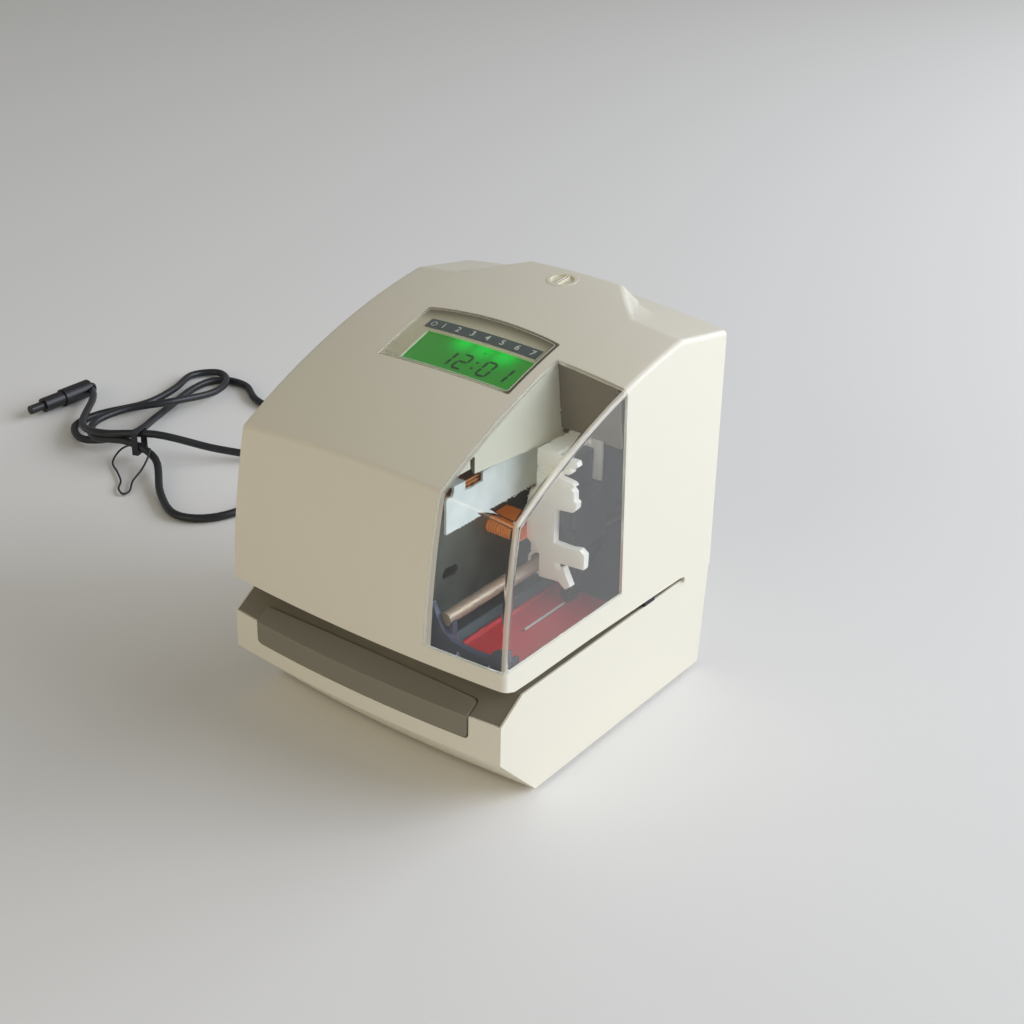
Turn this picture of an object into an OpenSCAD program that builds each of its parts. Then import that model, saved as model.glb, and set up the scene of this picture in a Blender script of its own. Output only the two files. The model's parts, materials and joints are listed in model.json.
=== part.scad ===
/* [Housing] */
// Width of the base
base_w = 150; // [149:0.5:151]
// Depth of the base along its underside
base_d = 156; // [155:0.5:157]
// Height of the base's side rims, beside the table that the paper lies on
rim_z = 53.4; // [53:0.1:53.8]
// Width of the cover across its lower edge
cover_w = 152.4; // [152:0.2:153]
// Narrowing of the cover from its lower edge to its ridge
cover_taper = 5.6; // [5:0.2:6]
// Depth of the ridge behind the front corners
ridge_y = 125; // [124:0.5:126]
// Thickness of the moulded walls
wall = 2.5; // [2.2:0.1:2.8]
// Height of the rubber feet
foot_h = 2; // [1.5:0.5:3]

/* [Window] */
// Left edge of the corner window
window_x = 38; // [37:0.5:39]
// Back edge of the corner window
window_back = 83.5; // [83:0.5:84.5]
// Lower edge of the corner window
window_z = 69.6; // [69:0.2:70.5]
// Thickness of the clear window
window_t = 2; // [1.6:0.2:2.2]

/* [Printing] */
// Diameter of the rod that guides the print carriage
rod_d = 6; // [5.5:0.5:6]
// Place of the print line across the table
print_x = 52; // [51.5:0.5:52.5]
// Length of the print line, which the carriage travels
print_travel = 31; // [28:1:32]
// Module of the ribbon gear and of the rack that it rolls along
tooth_module = 0.7; // [0.68:0.01:0.72]
// Teeth of the ribbon gear
ribbon_teeth = 16; // [14:1:16]

/* [Push bar] */
// Width of the bar that is pressed to print by hand
bar_w = 119; // [117:1:121]
// How far the bar stands proud of the base
bar_proud = 0.8; // [0.6:0.1:1]

/* [Cord] */
// Diameter of the supply cord
cord_d = 4.5; // [4:0.5:5]

/* [Hidden] */
fine = 96;
eps = 0.01;
gap = 0.3;

// The frame's origin lies under the middle, so depths from the front corners move by mid_y
bow = 4;
back_lean = 3.5;
back_top = base_d + back_lean + 4;
mid_y = (back_top - bow - bar_proud) / 2;
module place() { translate([0, -mid_y, foot_h]) children(); }

// Convex counter-clockwise outline [depth, height] with every edge moved inwards by t
function unit(v) = v / norm(v);
function moved(a, b, c, t) = let(u = unit(b - a), v = unit(c - b),
  m = [-u[1] - v[1], u[0] + v[0]]) b + t * m / (1 + u * v);
function inset(p, t) = let(n = len(p))
  [for (i = [0:n-1]) moved(p[(i + n - 1) % n], p[i], p[(i + 1) % n], t)];

// Outline [depth, height] drawn out across the width, from x0 to x1
module across(x0, x1) {
  translate([x0, 0, 0]) rotate([90, 0, 90]) linear_extrude(x1 - x0) children();
}
// Outline [width, height] drawn out in depth, from y0 to y1
module along(y0, y1) {
  translate([0, y1, 0]) rotate([90, 0, 0]) linear_extrude(y1 - y0) children();
}
// Box between two corners
module box(a, b) { translate(a) cube(b - a); }
// Cylinder across the width, from x0 to x1, about [depth, height]
module cross_rod(x0, x1, c, d) {
  translate([x0, c[0], c[1]]) rotate([0, 90, 0]) cylinder(d = d, h = x1 - x0, $fn = fine);
}
// Cylinder along the depth, from y0 to y1, about [width, height]
module long_rod(y0, y1, c, d) {
  translate([c[0], y1, c[1]]) rotate([90, 0, 0]) cylinder(d = d, h = y1 - y0, $fn = fine);
}
// Outline [radius, height] turned about an upright axis far behind the part, for a bowed front
module bowed(r, sag) {
  translate([0, r - sag, 0]) rotate([0, 0, -100])
    rotate_extrude(angle = 20, $fn = 720) children();
}
// Pan-head screw along +Z whose head seats at z = 0
module screw(d, l) {
  translate([0, 0, -l]) cylinder(d = d, h = l + eps, $fn = 24);
  cylinder(d1 = d * 2, d2 = d * 1.5, h = d * 0.6, $fn = 24);
}

// Base: chamfered underside, upright front and chamfered table edge, bowed in plan
base_r = (base_w * base_w / 4 + bow * bow) / (2 * bow);
half_w = base_w / 2;
chamfer_y = 14.1;
front_z0 = 25.6;
front_z1 = 44.3;
under_y = 25.2;
seam_y = 135.5;
seam_z = 52.3;
base_front = [[under_y, 0], [200, 0], [200, rim_z], [chamfer_y, rim_z], [0, front_z1], [0, front_z0]];
base_side = [[under_y - 12, 0], [base_d, 0], [base_d + back_lean, rim_z], [-12, rim_z], [-12, 12]];
module base_bow(t) {
  bowed(base_r, bow) polygon([for (p = inset(base_front, t)) [base_r - p[0], p[1]]]);
}
module base_block(t) {
  intersection() {
    base_bow(t);
    across(-half_w + t, half_w - t) polygon(inset(base_side, t));
  }
}

// Push bar: it wraps the edge between the table's chamfer and the upright front
bar_z0 = 34.1;
bar_top = [5.7, 48];
bar_corner = 1.8;
bar_x0 = -bar_w / 2 - 0.5;
bar_x1 = bar_w / 2 - 0.5;
bar_t = 3;
pivot = [3, 42.5];
pivot_d = 2.5;
pivot_lugs = [-44, 0, 44];
switch_x = 22;
switch_z = 36;
// Outline from x0 to x1 and up to height v, whose upper corners are rounded to radius r
module round_topped(x0, x1, v, r) {
  polygon(concat([[x0, -30], [x1, -30]], [for (a = [0:15:90]) [x1 - r + r * cos(a), v - r + r * sin(a)]],
    [for (a = [90:15:180]) [x0 + r + r * cos(a), v - r + r * sin(a)]]));
}
module bar_window(side, below) {
  x0 = bar_x0 - side;
  x1 = bar_x1 + side;
  intersection() {
    across(x0, x1) polygon([[-9, bar_z0 - below], [bar_t - bar_proud, bar_z0 - below],
      [bar_t + 1, 40], bar_top + [2.3 + side * 0.5, -3.6], bar_top + [side * 0.9, side * 0.5],
      bar_top + [-3.5, 5.6], [-9, bar_top[1] + 5.6]]);
    // Rounded corners, above on the table's slope and below on the front
    translate([0, 0, front_z1]) rotate([atan2(bar_top[1] - front_z1, bar_top[0]), 0, 0]) translate([0, 0, -30])
      linear_extrude(60) round_topped(x0, x1, norm(bar_top - [0, front_z1]) + side, bar_corner + side);
    along(-20, 30) translate([0, bar_z0 - below]) mirror([0, 1]) round_topped(x0, x1, 0, bar_corner + side);
  }
}
module bar_lug(x, w, t) {
  intersection() {
    across(x - w / 2, x + w / 2) {
      translate(pivot) circle(r = 2.4, $fn = 48);
      polygon([[-9, pivot[1] - 3.5], pivot + [0, -2.4], pivot + [0, 2.4], [-9, pivot[1] + 1.5]]);
    }
    base_bow(t);
  }
}
module push_bar() {
  color("#5f5c50") place() difference() {
    union() {
      difference() {
        intersection() {
          base_bow(-bar_proud);
          bar_window(0, 0);
        }
        base_bow(bar_t - bar_proud);
      }
      for (x = pivot_lugs) bar_lug(x, 5, 1);
      // Rib that presses the switch
      intersection() {
        box([switch_x - 2, -9, switch_z - 1.5], [switch_x + 2, 4, switch_z + 1.5]);
        base_bow(1);
      }
    }
    for (x = pivot_lugs) cross_rod(x - 3, x + 3, pivot, pivot_d + 0.1);
  }
}
module bar_pivot() {
  color("silver") place() cross_rod(-64, 64, pivot, pivot_d);
}
module bar_switch() {
  color("#26282a") place() difference() {
    box([switch_x - 6.4, 5.6, switch_z - 8], [switch_x + 6.4, 12.4, switch_z + 3]);
    long_rod(5, 8.5, [switch_x, switch_z], 2.4);
    for (x = [-3.2, 3.2]) long_rod(5, 13, [switch_x + x, switch_z - 5.5], 1.6);
  }
  color("#26282a") place() difference() {
    intersection() {
      box([switch_x - 8, 12.4, 0], [switch_x + 8, 14, switch_z + 2]);
      base_block(wall);
    }
    for (x = [-3.2, 3.2]) long_rod(12, 15, [switch_x + x, switch_z - 5.5], 1.6);
  }
}
module switch_plunger() {
  color("#b03030") place() long_rod(4 + 0.2, 7.6, [switch_x, switch_z], 2.2);
}

// Taupe table plate, let in between the side rims
plate_drop = 0.4;
plate_t = 2;
plate_z = rim_z - plate_drop;
plate_half = half_w - 1;
boss_spots = [[-62, 56], [62, 56], [-62, 122], [62, 122]];
platen_y = [40, 80];
platen_w = 10;
module table_plate() {
  color("#625e50") place() difference() {
    union() {
      intersection() {
        difference() {
          base_bow(plate_drop);
          base_bow(plate_drop + plate_t);
        }
        across(-plate_half, plate_half)
          polygon([[-12, front_z1 + 0.1], [seam_y - 0.3, front_z1 + 0.1], [seam_y - 0.3, 60], [-12, 60]]);
      }
      // Ribs that hold the ends of the bar's pivot
      for (x = [-62.5, 62.5]) bar_lug(x, 3, wall + 0.1);
      for (x = [-62.5, 62.5]) intersection() {
        box([x - 1.5, 1.5, pivot[1] - 1], [x + 1.5, 9, plate_z - 1]);
        base_bow(plate_drop + plate_t - 0.2);
      }
      // Screw bosses that stand on the base's floor
      for (p = boss_spots) translate([p[0], p[1], wall]) cylinder(d = 8, h = plate_z - wall - 1, $fn = 48);
      // Box that holds the platen
      box([print_x - platen_w / 2 - 1.5, platen_y[0] - 1.5, plate_z - 5],
        [print_x + platen_w / 2 + 1.5, platen_y[1] + 1.5, plate_z - 0.5]);
    }
    bar_window(0.4, 1);
    box([print_x - platen_w / 2, platen_y[0], plate_z - 3.5], [print_x + platen_w / 2, platen_y[1], plate_z + 1]);
    for (x = [-62.5, 62.5]) cross_rod(x - 2, x + 2, pivot, pivot_d);
    for (p = boss_spots) translate([p[0], p[1], 0]) cylinder(d = 3.1, h = 22, $fn = 24);
    // Groove that the paper stop slides in
    box([rail_x - 1, 88, plate_z - 1], [rail_x + 1, seam_y, plate_z + 1]);
  }
}
module platen() {
  color("#2b2b2b") place()
    box([print_x - platen_w / 2, platen_y[0], plate_z - 3.5], [print_x + platen_w / 2, platen_y[1], plate_z]);
}

// Paper stop: a bar across the back of the throat that slides along a rail at the right
rail_x = 69.5;
stop_y = 104;
stop_d = 7;
module stop_rail() {
  color("#9aa39e") place()
    box([rail_x - 1, 88, plate_z - 1], [rail_x + 1, seam_y, plate_z + 1.4]);
}
module paper_stop() {
  color("#1e2022") place() difference() {
    union() {
      across(-66, rail_x + 2.6) polygon([[stop_y, plate_z + gap], [stop_y + stop_d, plate_z + gap],
        [stop_y + stop_d, plate_z + 3.2], [stop_y + 2, plate_z + 4.6], [stop_y, plate_z + 4.6]]);
      box([rail_x - 4, stop_y - 3, plate_z + gap], [rail_x + 2.7, stop_y + stop_d + 3, plate_z + 3.4]);
      // Thumb tab that shows in the side slot
      box([rail_x + 2, stop_y, plate_z + 0.9], [half_w + 0.6, stop_y + 8, plate_z + 2.9]);
    }
    box([rail_x - 1.3, 70, plate_z - 1], [rail_x + 1.3, 150, plate_z + 1.7]);
  }
}

// Base shell with its socket hole, vents and feet
socket_x = -38;
socket_z = 16;
foot_spots = [[-60, 40], [60, 40], [-60, 143], [60, 143]];
module base_shell() {
  color("#e9e6da") place() difference() {
    union() {
      difference() {
        base_block(0);
        base_block(wall);
        // Open top that the table plate closes, and the lower seam behind it
        box([-half_w + wall, -12, front_z1 - 0.1], [half_w - wall, base_d - wall - 0.5, rim_z + 1]);
        intersection() {
          difference() {
            base_bow(-2);
            base_bow(plate_drop + plate_t);
          }
          box([-plate_half - 0.1, -12, front_z1 - 0.1], [plate_half + 0.1, seam_y, rim_z + 1]);
        }
        box([-half_w - 1, seam_y, seam_z], [half_w + 1, 200, rim_z + 1]);
        bar_window(0.4, 1);
      }
      // Stand-offs for the frame's foot and the power board
      for (x = [-50, 50]) translate([x, 147, wall - eps]) cylinder(d = 9, h = 3, $fn = 48);
      for (x = [-20, 40], y = [60, 110]) translate([x, y, wall - eps]) cylinder(d = 6, h = 4, $fn = 48);
    }
    // Screw wells under the table plate's bosses
    for (p = boss_spots) translate([p[0], p[1], -1]) {
      cylinder(d = 3.4, h = 9, $fn = 24);
      cylinder(d = 7, h = 2.2, $fn = 48);
    }
    for (p = foot_spots) translate([p[0], p[1], -1]) cylinder(d = 12, h = 1.8, $fn = fine);
    for (x = [-50, 50]) translate([x, 147, -1]) cylinder(d = 3.1, h = 9, $fn = 24);
    // Vents in the floor
    for (i = [0:8]) box([-24 + i * 6, 70, -1], [-21 + i * 6, 100, wall + 1]);
    translate([socket_x, 150, socket_z]) rotate([-90, 0, 0]) cylinder(d = 9, h = 14, $fn = fine);
  }
}
module base_screws() {
  color("silver") place() for (p = boss_spots)
    translate([p[0], p[1], 1.2]) rotate([180, 0, 0]) screw(3, 12);
}
module rubber_feet() {
  color("#202224") place() for (p = foot_spots) translate([p[0], p[1], -foot_h]) {
    cylinder(d1 = 10.5, d2 = 12, h = foot_h + 0.8, $fn = fine);
  }
}
module power_board() {
  color("#2f6b3a") place() difference() {
    union() {
      box([-26, 54, wall + 4], [46, 116, wall + 5.6]);
      for (y = [66, 84]) translate([-10, y, wall + 5]) cylinder(d = 12.5, h = 20, $fn = 48);
      box([8, 62, wall + 5], [32, 86, wall + 24]);
      for (x = [4, 16, 28]) box([x, 96, wall + 5], [x + 8, 108, wall + 9]);
    }
    for (x = [-20, 40], y = [60, 110]) translate([x, y, wall + 3]) cylinder(d = 3.2, h = 4, $fn = 24);
  }
}
module supply_socket() {
  color("#1c1e20") place() translate([socket_x, 0, socket_z]) difference() {
    union() {
      translate([0, 140, 0]) rotate([-90, 0, 0]) cylinder(d = 9, h = 17.4, $fn = fine);
      box([-7, 138, -wall - 11], [7, 152.5, 7]);
    }
    translate([0, 141, 0]) rotate([-90, 0, 0]) cylinder(d = 5.6, h = 20, $fn = fine);
  }
}

// Printing frame: a floor over the throat, carried by a back wall that stands in the base
floor_z = 59.6;
sheet = 1.2;
frame_back = 140;
mask_box = [[40, 19, floor_z], [70, 86, floor_z + sheet]];
module head_frame() {
  color("#4a505a") place() difference() {
    union() {
      box([-68, 9, floor_z], [71, frame_back, floor_z + sheet]);
      box([-58, frame_back - sheet, wall + 3], [62, frame_back, 118]);
      box([-58, frame_back - sheet, wall + 3], [62, 152, wall + 3 + sheet]);
      // Folded edges that stiffen the floor
      box([-68, 9, floor_z], [-66.8, frame_back, floor_z + 9]);
      box([69.8, 88, floor_z], [71, frame_back, floor_z + 9]);
      // Gussets between floor and back wall
      for (x = [-60, 61]) across(x - 0.6, x + 0.6)
        polygon([[100, floor_z], [frame_back, floor_z], [frame_back, floor_z + 36]]);
    }
    box(mask_box[0] + [1.5, 1.5, -1], mask_box[1] + [-1.5, -1.5, 1]);
    for (x = [-50, 50]) translate([x, 147, 0]) cylinder(d = 3.4, h = 20, $fn = 24);
    for (x = [-30, -5]) long_rod(130, 150, [x, 90], 12);
    box([socket_x - 9, 130, 0], [socket_x + 9, 160, socket_z + 10]);
  }
}
module side_plate() {
  color("#8b9088") place() difference() {
    union() {
      across(side_x - sheet, side_x) polygon([[13, floor_z + sheet], [frame_back - sheet, floor_z + sheet],
        [frame_back - sheet, 146], [70, 146], [17, 132], [13, 128]]);
      // Flange that the rack plate is screwed to
      box([side_x - sheet / 2, 22, rack_top - 2 * sheet], [28, 26.6, rack_top - sheet]);
      box([side_x - sheet / 2, 62, rack_top - 2 * sheet], [28, 74, rack_top - sheet]);
      box([side_x - sheet / 2, 100, rack_top - 2 * sheet], [28, 128, rack_top - sheet]);
    }
    // Long hole that shows through the window
    for (y = [33.5, 38.5]) cross_rod(side_x - 3, side_x + 1, [y, 82], 5);
    box([side_x - 3, 33.5, 79.5], [side_x + 1, 38.5, 84.5]);
    cross_rod(side_x - 3, side_x + 1, [100, 88], 26);
    for (y = rack_screws) translate([24, y, 120]) cylinder(d = 3.1, h = 20, $fn = 24);
    cross_rod(side_x - 3, side_x + 1, [motor_y, belt_z], 8);
    cross_rod(side_x - 3, side_x + 1, [idler_y, belt_z], 3);
  }
}
rack_screws = [24.2, 68, 104];
module frame_screws() {
  color("silver") place() {
    for (x = [-50, 50]) translate([x, 147, wall + 3 + sheet]) screw(3, 6);
    for (y = rack_screws) translate([24, y, rack_top]) screw(3, 2.6);
  }
}

// Rack plate: an angle with saw teeth along its lower edge
side_x = 20;
rack_x = 33;
rack_top = 132;
rack_low = 112.6;
pitch = PI * tooth_module;
pitch_r = tooth_module * ribbon_teeth / 2;
rack_teeth_y = 47;
rack_tooth_n = 18;
gear_y = 78;
gear_z = rack_low - pitch_r - 0.65;
module rack_tooth(y) {
  h = tooth_module;
  translate([y, rack_low]) polygon([[-pitch / 4 - 0.27, h], [-pitch * 0.06, -h * 0.85],
    [pitch * 0.06, -h * 0.85], [pitch / 4 + 0.27, h]]);
}
module rack_plate() {
  color("#ccd6cf") place() difference() {
    union() {
      across(rack_x, rack_x + sheet) {
        polygon([[15.7, rack_low], [92, rack_low], [92, rack_top], [20.2, rack_top],
          [20.2, 129], [18.6, 128], [15.7, 128]]);
        for (i = [0:rack_tooth_n - 1]) rack_tooth(rack_teeth_y + i * pitch);
        for (i = [0:4]) rack_tooth(25 + i * pitch);
      }
      // Fold that lies on the side plate's upper edge
      box([side_x + 0.1, 20.2, rack_top - sheet], [rack_x + 0.1, 130, rack_top]);
    }
    box([26, 27.4, 127.6], [rack_x + 2, 38.8, rack_top + 1]);
    for (y = rack_screws) translate([24, y, 120]) cylinder(d = 3.1, h = 20, $fn = 24);
  }
}

// Guide rod and the bracket that holds its front end
rod_at = [39.5, 78.5];
module guide_rod() {
  color("#b9b2a6") place() long_rod(8.6, frame_back - sheet, rod_at, rod_d);
}
module front_bracket() {
  color("#3a3d47") place() difference() {
    union() {
      along(6, 8.6) polygon([[32, floor_z + sheet], [72, floor_z + sheet], [72, 76.5], [69.6, 76.5], [66, 74.4],
        [63.2, 70.8], [56, 70.4], [50.3, 70.8], [45.5, 71.6], [41.7, 73.9], [39.4, 76.6], [37.6, 79.6],
        [36, 83], [34.8, 86], [32, 86]]);
      box([32, 6, floor_z + sheet], [72, 15, floor_z + sheet + 1.6]);
      box([35.5, 8.6, floor_z + sheet], [43.5, 11.6, 78.2]);
      for (x = [33, 70]) box([x - 1, 8, floor_z + sheet], [x + 1, 15, 70]);
    }
    long_rod(8.6, 12, rod_at, rod_d);
    for (x = [48, 64]) long_rod(5, 10, [x, 66.5], 2.6);
  }
}

// Red ribbon mask over the print slot
module ribbon_mask() {
  lo = mask_box[0];
  hi = mask_box[1];
  color("#a8323a") place() difference() {
    union() {
      box([lo[0] + 1.5, lo[1] + 1.5, floor_z], [hi[0] - 1.5, hi[1] - 1.5, floor_z + sheet]);
      box([lo[0], lo[1], floor_z + sheet], [hi[0], hi[1], floor_z + sheet + 0.8]);
      for (x = [lo[0], hi[0] - 1.2]) box([x, lo[1], floor_z + sheet], [x + 1.2, hi[1], floor_z + sheet + 2.6]);
    }
    hull() for (y = [nose_y - print_travel - 3, nose_y + 3])
      translate([print_x, y, floor_z - 1]) cylinder(d = 1.6, h = 5, $fn = 32);
  }
}

// Print carriage: a bracket of white acetal that holds the ribbon cassette by its fingers
face_y = 66;
nose_y = 77;
carriage_back = 98;
head_x = 52.4;
block_top = 134.6;
face_t = 3.4;
belt_x = [23, 29];
belt_low = 114.2;
module carriage() {
  color("#eeeeea") place() difference() {
    union() {
      // Front plate with its cassette fingers
      along(face_y, face_y + face_t) {
        difference() {
          polygon([[43, 75], [53.4, 76], [57.1, 73.3], [59.7, 75.5], [55.5, 83.6], [52.3, 81.2], [50.5, 84.8],
            [66.1, 86], [66.3, 93], [63.6, 94.8], [59.1, 93.8], [50.5, 93.8], [50.5, 110], [59.4, 111.1],
            [61.1, 113.2], [61.3, 116.1], [59.9, 116.7], [59.9, 120.4], [58.4, 121.6], [51.6, 121.4],
            [51.6, 121.9], [58.6, 122.1], [59.9, 123.3], [58.7, 124.4], [51.4, 125.2], [51.4, 127.6],
            [56.6, 127.8], [58.2, 129], [56.8, 130.4], [52.4, 130.4], [52.4, 131.8], [59.6, 131.4],
            [61.1, 132.6], [60.4, block_top], [41.8, block_top], [41.8, 117], [38, 112.2], [36, 103],
            [36, 92], [43, 86]]);
          translate([49.6, 127.4]) circle(d = 2.6, $fn = 48);
          translate([44.4, 127]) square([4.4, 0.5]);
          translate([44.2, 124.2]) rotate(-10) square([4.6, 0.5]);
        }
      }
      // Head block: a wall and a roof, open at the right and slotted from above
      box([41.8, face_y + face_t - eps, 112.2], [head_x, carriage_back, block_top]);
      // Wall that carries the rod bushes, the gear and the belt clamp
      box([36, face_y + face_t - eps, 84], [43, carriage_back, 112.4]);
      box([36, 71, 78.5], [43, carriage_back, 84.1]);
      long_rod(71, carriage_back, rod_at, 12);
      // Arm under the rack to the belt
      box([belt_x[0] - 2, 88, 106.5], [37, 96, 110.5]);
      box([belt_x[0] - 1.4, 88, 106.6], [belt_x[1] + 2, 96, belt_low + 3.2]);
    }
    // Pocket for the head, and the dark slot in the top
    box([43, face_y + face_t, 100], [head_x + 1, carriage_back - 1.5, block_top - 2]);
    box([50.6, face_y + 1.4, 132], [56.8, 88, 140]);
    box([belt_x[0] - gap, 87, belt_low - gap], [belt_x[1] + gap, 97, belt_low + 1.4 + gap]);
    box([belt_x[0] - 3, 87, belt_low - 1.2], [belt_x[0] + 1, 97, belt_low + 2.4]);
    long_rod(70, 99, rod_at, rod_d + 3);
    cross_rod(35, 40, [gear_y, gear_z], 3);
  }
}
module rod_bushes() {
  color("#b08d57") place() for (y = [71, carriage_back - 7]) difference() {
    long_rod(y, y + 7, rod_at, rod_d + 3);
    long_rod(y - 1, y + 8, rod_at, rod_d + 0.08);
  }
}
module print_head() {
  color("#33363c") place() {
    difference() {
      union() {
        box([43, face_y + face_t, 100], [57.2, 96.5, 112]);
        box([43, 72, 88], [57.2, 96, 112]);
        box([43, 76, 112 - eps], [50, 94, 128]);
        for (i = [0:2]) box([44.5 + i * 4, 96 - eps, 88], [45.9 + i * 4, 101, 108]);
      }
      box([head_x, 95, 111], [60, 99, 114]);
    }
    hull() {
      box([print_x - 5, 73, 87], [print_x + 8, 88, 88.1]);
      box([print_x - 2.5, nose_y - 3, 70], [print_x + 2.5, nose_y + 3, 71]);
    }
    box([print_x - 2.5, nose_y - 3, 62.6], [print_x + 2.5, nose_y + 3, 70.1]);
  }
}

// Ribbon gear: it rolls along the rack as the carriage travels
gear_turn = 360 / ribbon_teeth * ((gear_y - rack_teeth_y) / pitch - floor((gear_y - rack_teeth_y) / pitch));
module gear_outline(n, m) {
  r = m * n / 2;
  half = 90 / n - 1.4;
  polygon([for (i = [0:n - 1], k = [[-half * 1.5, r - m * 1.05], [-half * 0.92, r], [-half * 0.42, r + m * 0.85],
    [half * 0.42, r + m * 0.85], [half * 0.92, r], [half * 1.5, r - m * 1.05]])
    let(a = i * 360 / n + k[0]) k[1] * [cos(a), sin(a)]]);
}
module ribbon_gear() {
  color("#e4dfd0") place() translate([32.6, gear_y, gear_z]) rotate([90, 0, 90]) difference() {
    union() {
      linear_extrude(2.2) rotate(90 + 180 / ribbon_teeth + gear_turn) gear_outline(ribbon_teeth, tooth_module);
      cylinder(d = 6.5, h = 2.9, $fn = 48);
    }
    translate([0, 0, -1]) cylinder(d = 2.6, h = 5, $fn = fine);
  }
}
module gear_spindle() {
  color("silver") place() {
    cross_rod(32.2, 40, [gear_y, gear_z], 2.5);
    cross_rod(31.6, 32.3, [gear_y, gear_z], 4);
    difference() {
      cross_rod(36, 40, [gear_y, gear_z], 3);
      cross_rod(35, 39, [gear_y, gear_z], 2.4);
    }
  }
}

// Belt drive behind the rack plate
belt_r = 6;
belt_z = belt_low + 1.4 + belt_r;
idler_y = 32;
motor_y = 118;
module belt_loop(r) {
  for (y = [idler_y, motor_y]) translate([y, belt_z]) circle(r = r, $fn = fine);
  translate([idler_y, belt_z - r]) square([motor_y - idler_y, 2 * r]);
}
module drive_belt() {
  color("#8a4a1e") place() across(belt_x[0], belt_x[1]) difference() {
    belt_loop(belt_r + 1.4);
    belt_loop(belt_r + 0.2);
  }
}
module pulley(y) {
  place() difference() {
    union() {
      cross_rod(belt_x[0] - 0.4, belt_x[1] + 0.4, [y, belt_z], 2 * belt_r);
      for (x = [belt_x[0] - 0.7, belt_x[1] + 0.2]) cross_rod(x, x + 0.5, [y, belt_z], 2 * belt_r + 2);
    }
    for (i = [0:15]) translate([0, y, belt_z]) rotate([i * 22.5, 0, 0])
      box([belt_x[0] - 0.1, -0.5, belt_r - 0.6], [belt_x[1] + 0.1, 0.5, belt_r + 0.2]);
    cross_rod(0, 60, [y, belt_z], 3.1);
  }
}
module motor_pulley() { color("#d8d4c8") pulley(motor_y); }
module idler_pulley() { color("#d8d4c8") pulley(idler_y); }
module idler_axle() {
  color("silver") place() {
    cross_rod(side_x - sheet - 0.6, 30.6, [idler_y, belt_z], 3);
    for (x = [side_x - sheet - 0.8, 30.2]) cross_rod(x, x + 0.8, [idler_y, belt_z], 5);
  }
}
module drive_motor() {
  color("#7d8286") place() difference() {
    union() {
      cross_rod(-9, side_x - sheet, [motor_y, belt_z], 24);
      cross_rod(side_x - sheet - 0.1, side_x, [motor_y, belt_z], 8);
      cross_rod(side_x - 0.1, 31, [motor_y, belt_z], 3);
      box([side_x - sheet - 1.2, motor_y - 17, belt_z - 6], [side_x - sheet, motor_y + 17, belt_z + 6]);
      cross_rod(-11, -8.9, [motor_y, belt_z], 9);
    }
    for (y = [motor_y - 14.5, motor_y + 14.5]) cross_rod(side_x - 6, side_x + 3, [y, belt_z], 3);
  }
}
// Printed-circuit cable that folds as the carriage travels, and its clamp on the side plate
cable_x = [21.2, 35.2];
module ribbon(p, t) {
  n = len(p);
  polygon([for (i = [0:2 * n - 1]) let(k = i < n ? i : 2 * n - 1 - i, a = p[max(k - 1, 0)], b = p[min(k + 1, n - 1)],
    u = unit(b - a)) p[k] + (i < n ? t / 2 : -t / 2) * [-u[1], u[0]]]);
}
module head_cable() {
  color("#c06a1e") place() across(cable_x[0], cable_x[1]) {
    ribbon([[78, 90.8], [66, 90.8], [62, 91.1], [59.4, 92.5], [58.4, 94.7], [59.4, 96.9], [62, 98.2], [66, 98.6],
      [73, 99]], 0.4);
  }
}
module cable_clamp() {
  color("#26282a") place() difference() {
    box([side_x, 76, 88.2], [31, 84, 93.2]);
    box([cable_x[0], 70, 90.6], [cable_x[1] + 2, 78, 91]);
    translate([27, 81, 87]) cylinder(d = 2, h = 8, $fn = 24);
  }
}

// Crowned slope of the cover: an arc in side view, turned about an axis far below the part
arc_r = 315;
arc_y = 167.3;
arc_z = -133.4;
crown_r = 308;
function slope_z(y) = arc_z + sqrt(arc_r * arc_r - (y - arc_y) * (y - arc_y));
function slope_tilt(y) = asin((arc_y - y) / arc_r);
module on_slope(x, y) { translate([x, y, slope_z(y)]) rotate([slope_tilt(y), 0, 0]) children(); }
roof_fall = 6.2 / 37;
ridge_z = slope_z(ridge_y);
roof = [[20, -20], [ridge_z + (ridge_y + 20) * roof_fall, -20],
  [ridge_z - (back_top - ridge_y) * roof_fall, back_top], [20, back_top]];
tent_y = 149.8;
tent = [[20, -20], [220, -20], [220, tent_y - 19], [slope_z(tent_y), tent_y], [170, 155], [20, 155]];
// Outline [height, depth] turned about the low axis that runs front to back
module crowned(t, edge) {
  translate([0, 0, -crown_r]) rotate(a = 240, v = [1, 1, 1]) rotate([0, 0, -14])
    rotate_extrude(angle = 28, $fn = 720) intersection() {
      translate([arc_z + crown_r, arc_y]) circle(r = arc_r - t, $fn = 720);
      polygon([for (p = inset(edge, t)) p + [crown_r, 0]]);
    }
}
// Flank of the tent: it passes through three corners, moved inwards by t
tent_a = [47, ridge_y, slope_z(ridge_y) - 2.3];
tent_b = [25, tent_y, slope_z(tent_y) - 0.7];
tent_c = [33, 154, 172];
flank_n = unit(cross(tent_c - tent_a, tent_b - tent_a));
module flank(t) {
  translate(tent_a - flank_n * t) rotate([0, acos(flank_n[2]), atan2(flank_n[1], flank_n[0])])
    translate([-150, -150, -200]) cube([300, 300, 200]);
}

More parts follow.
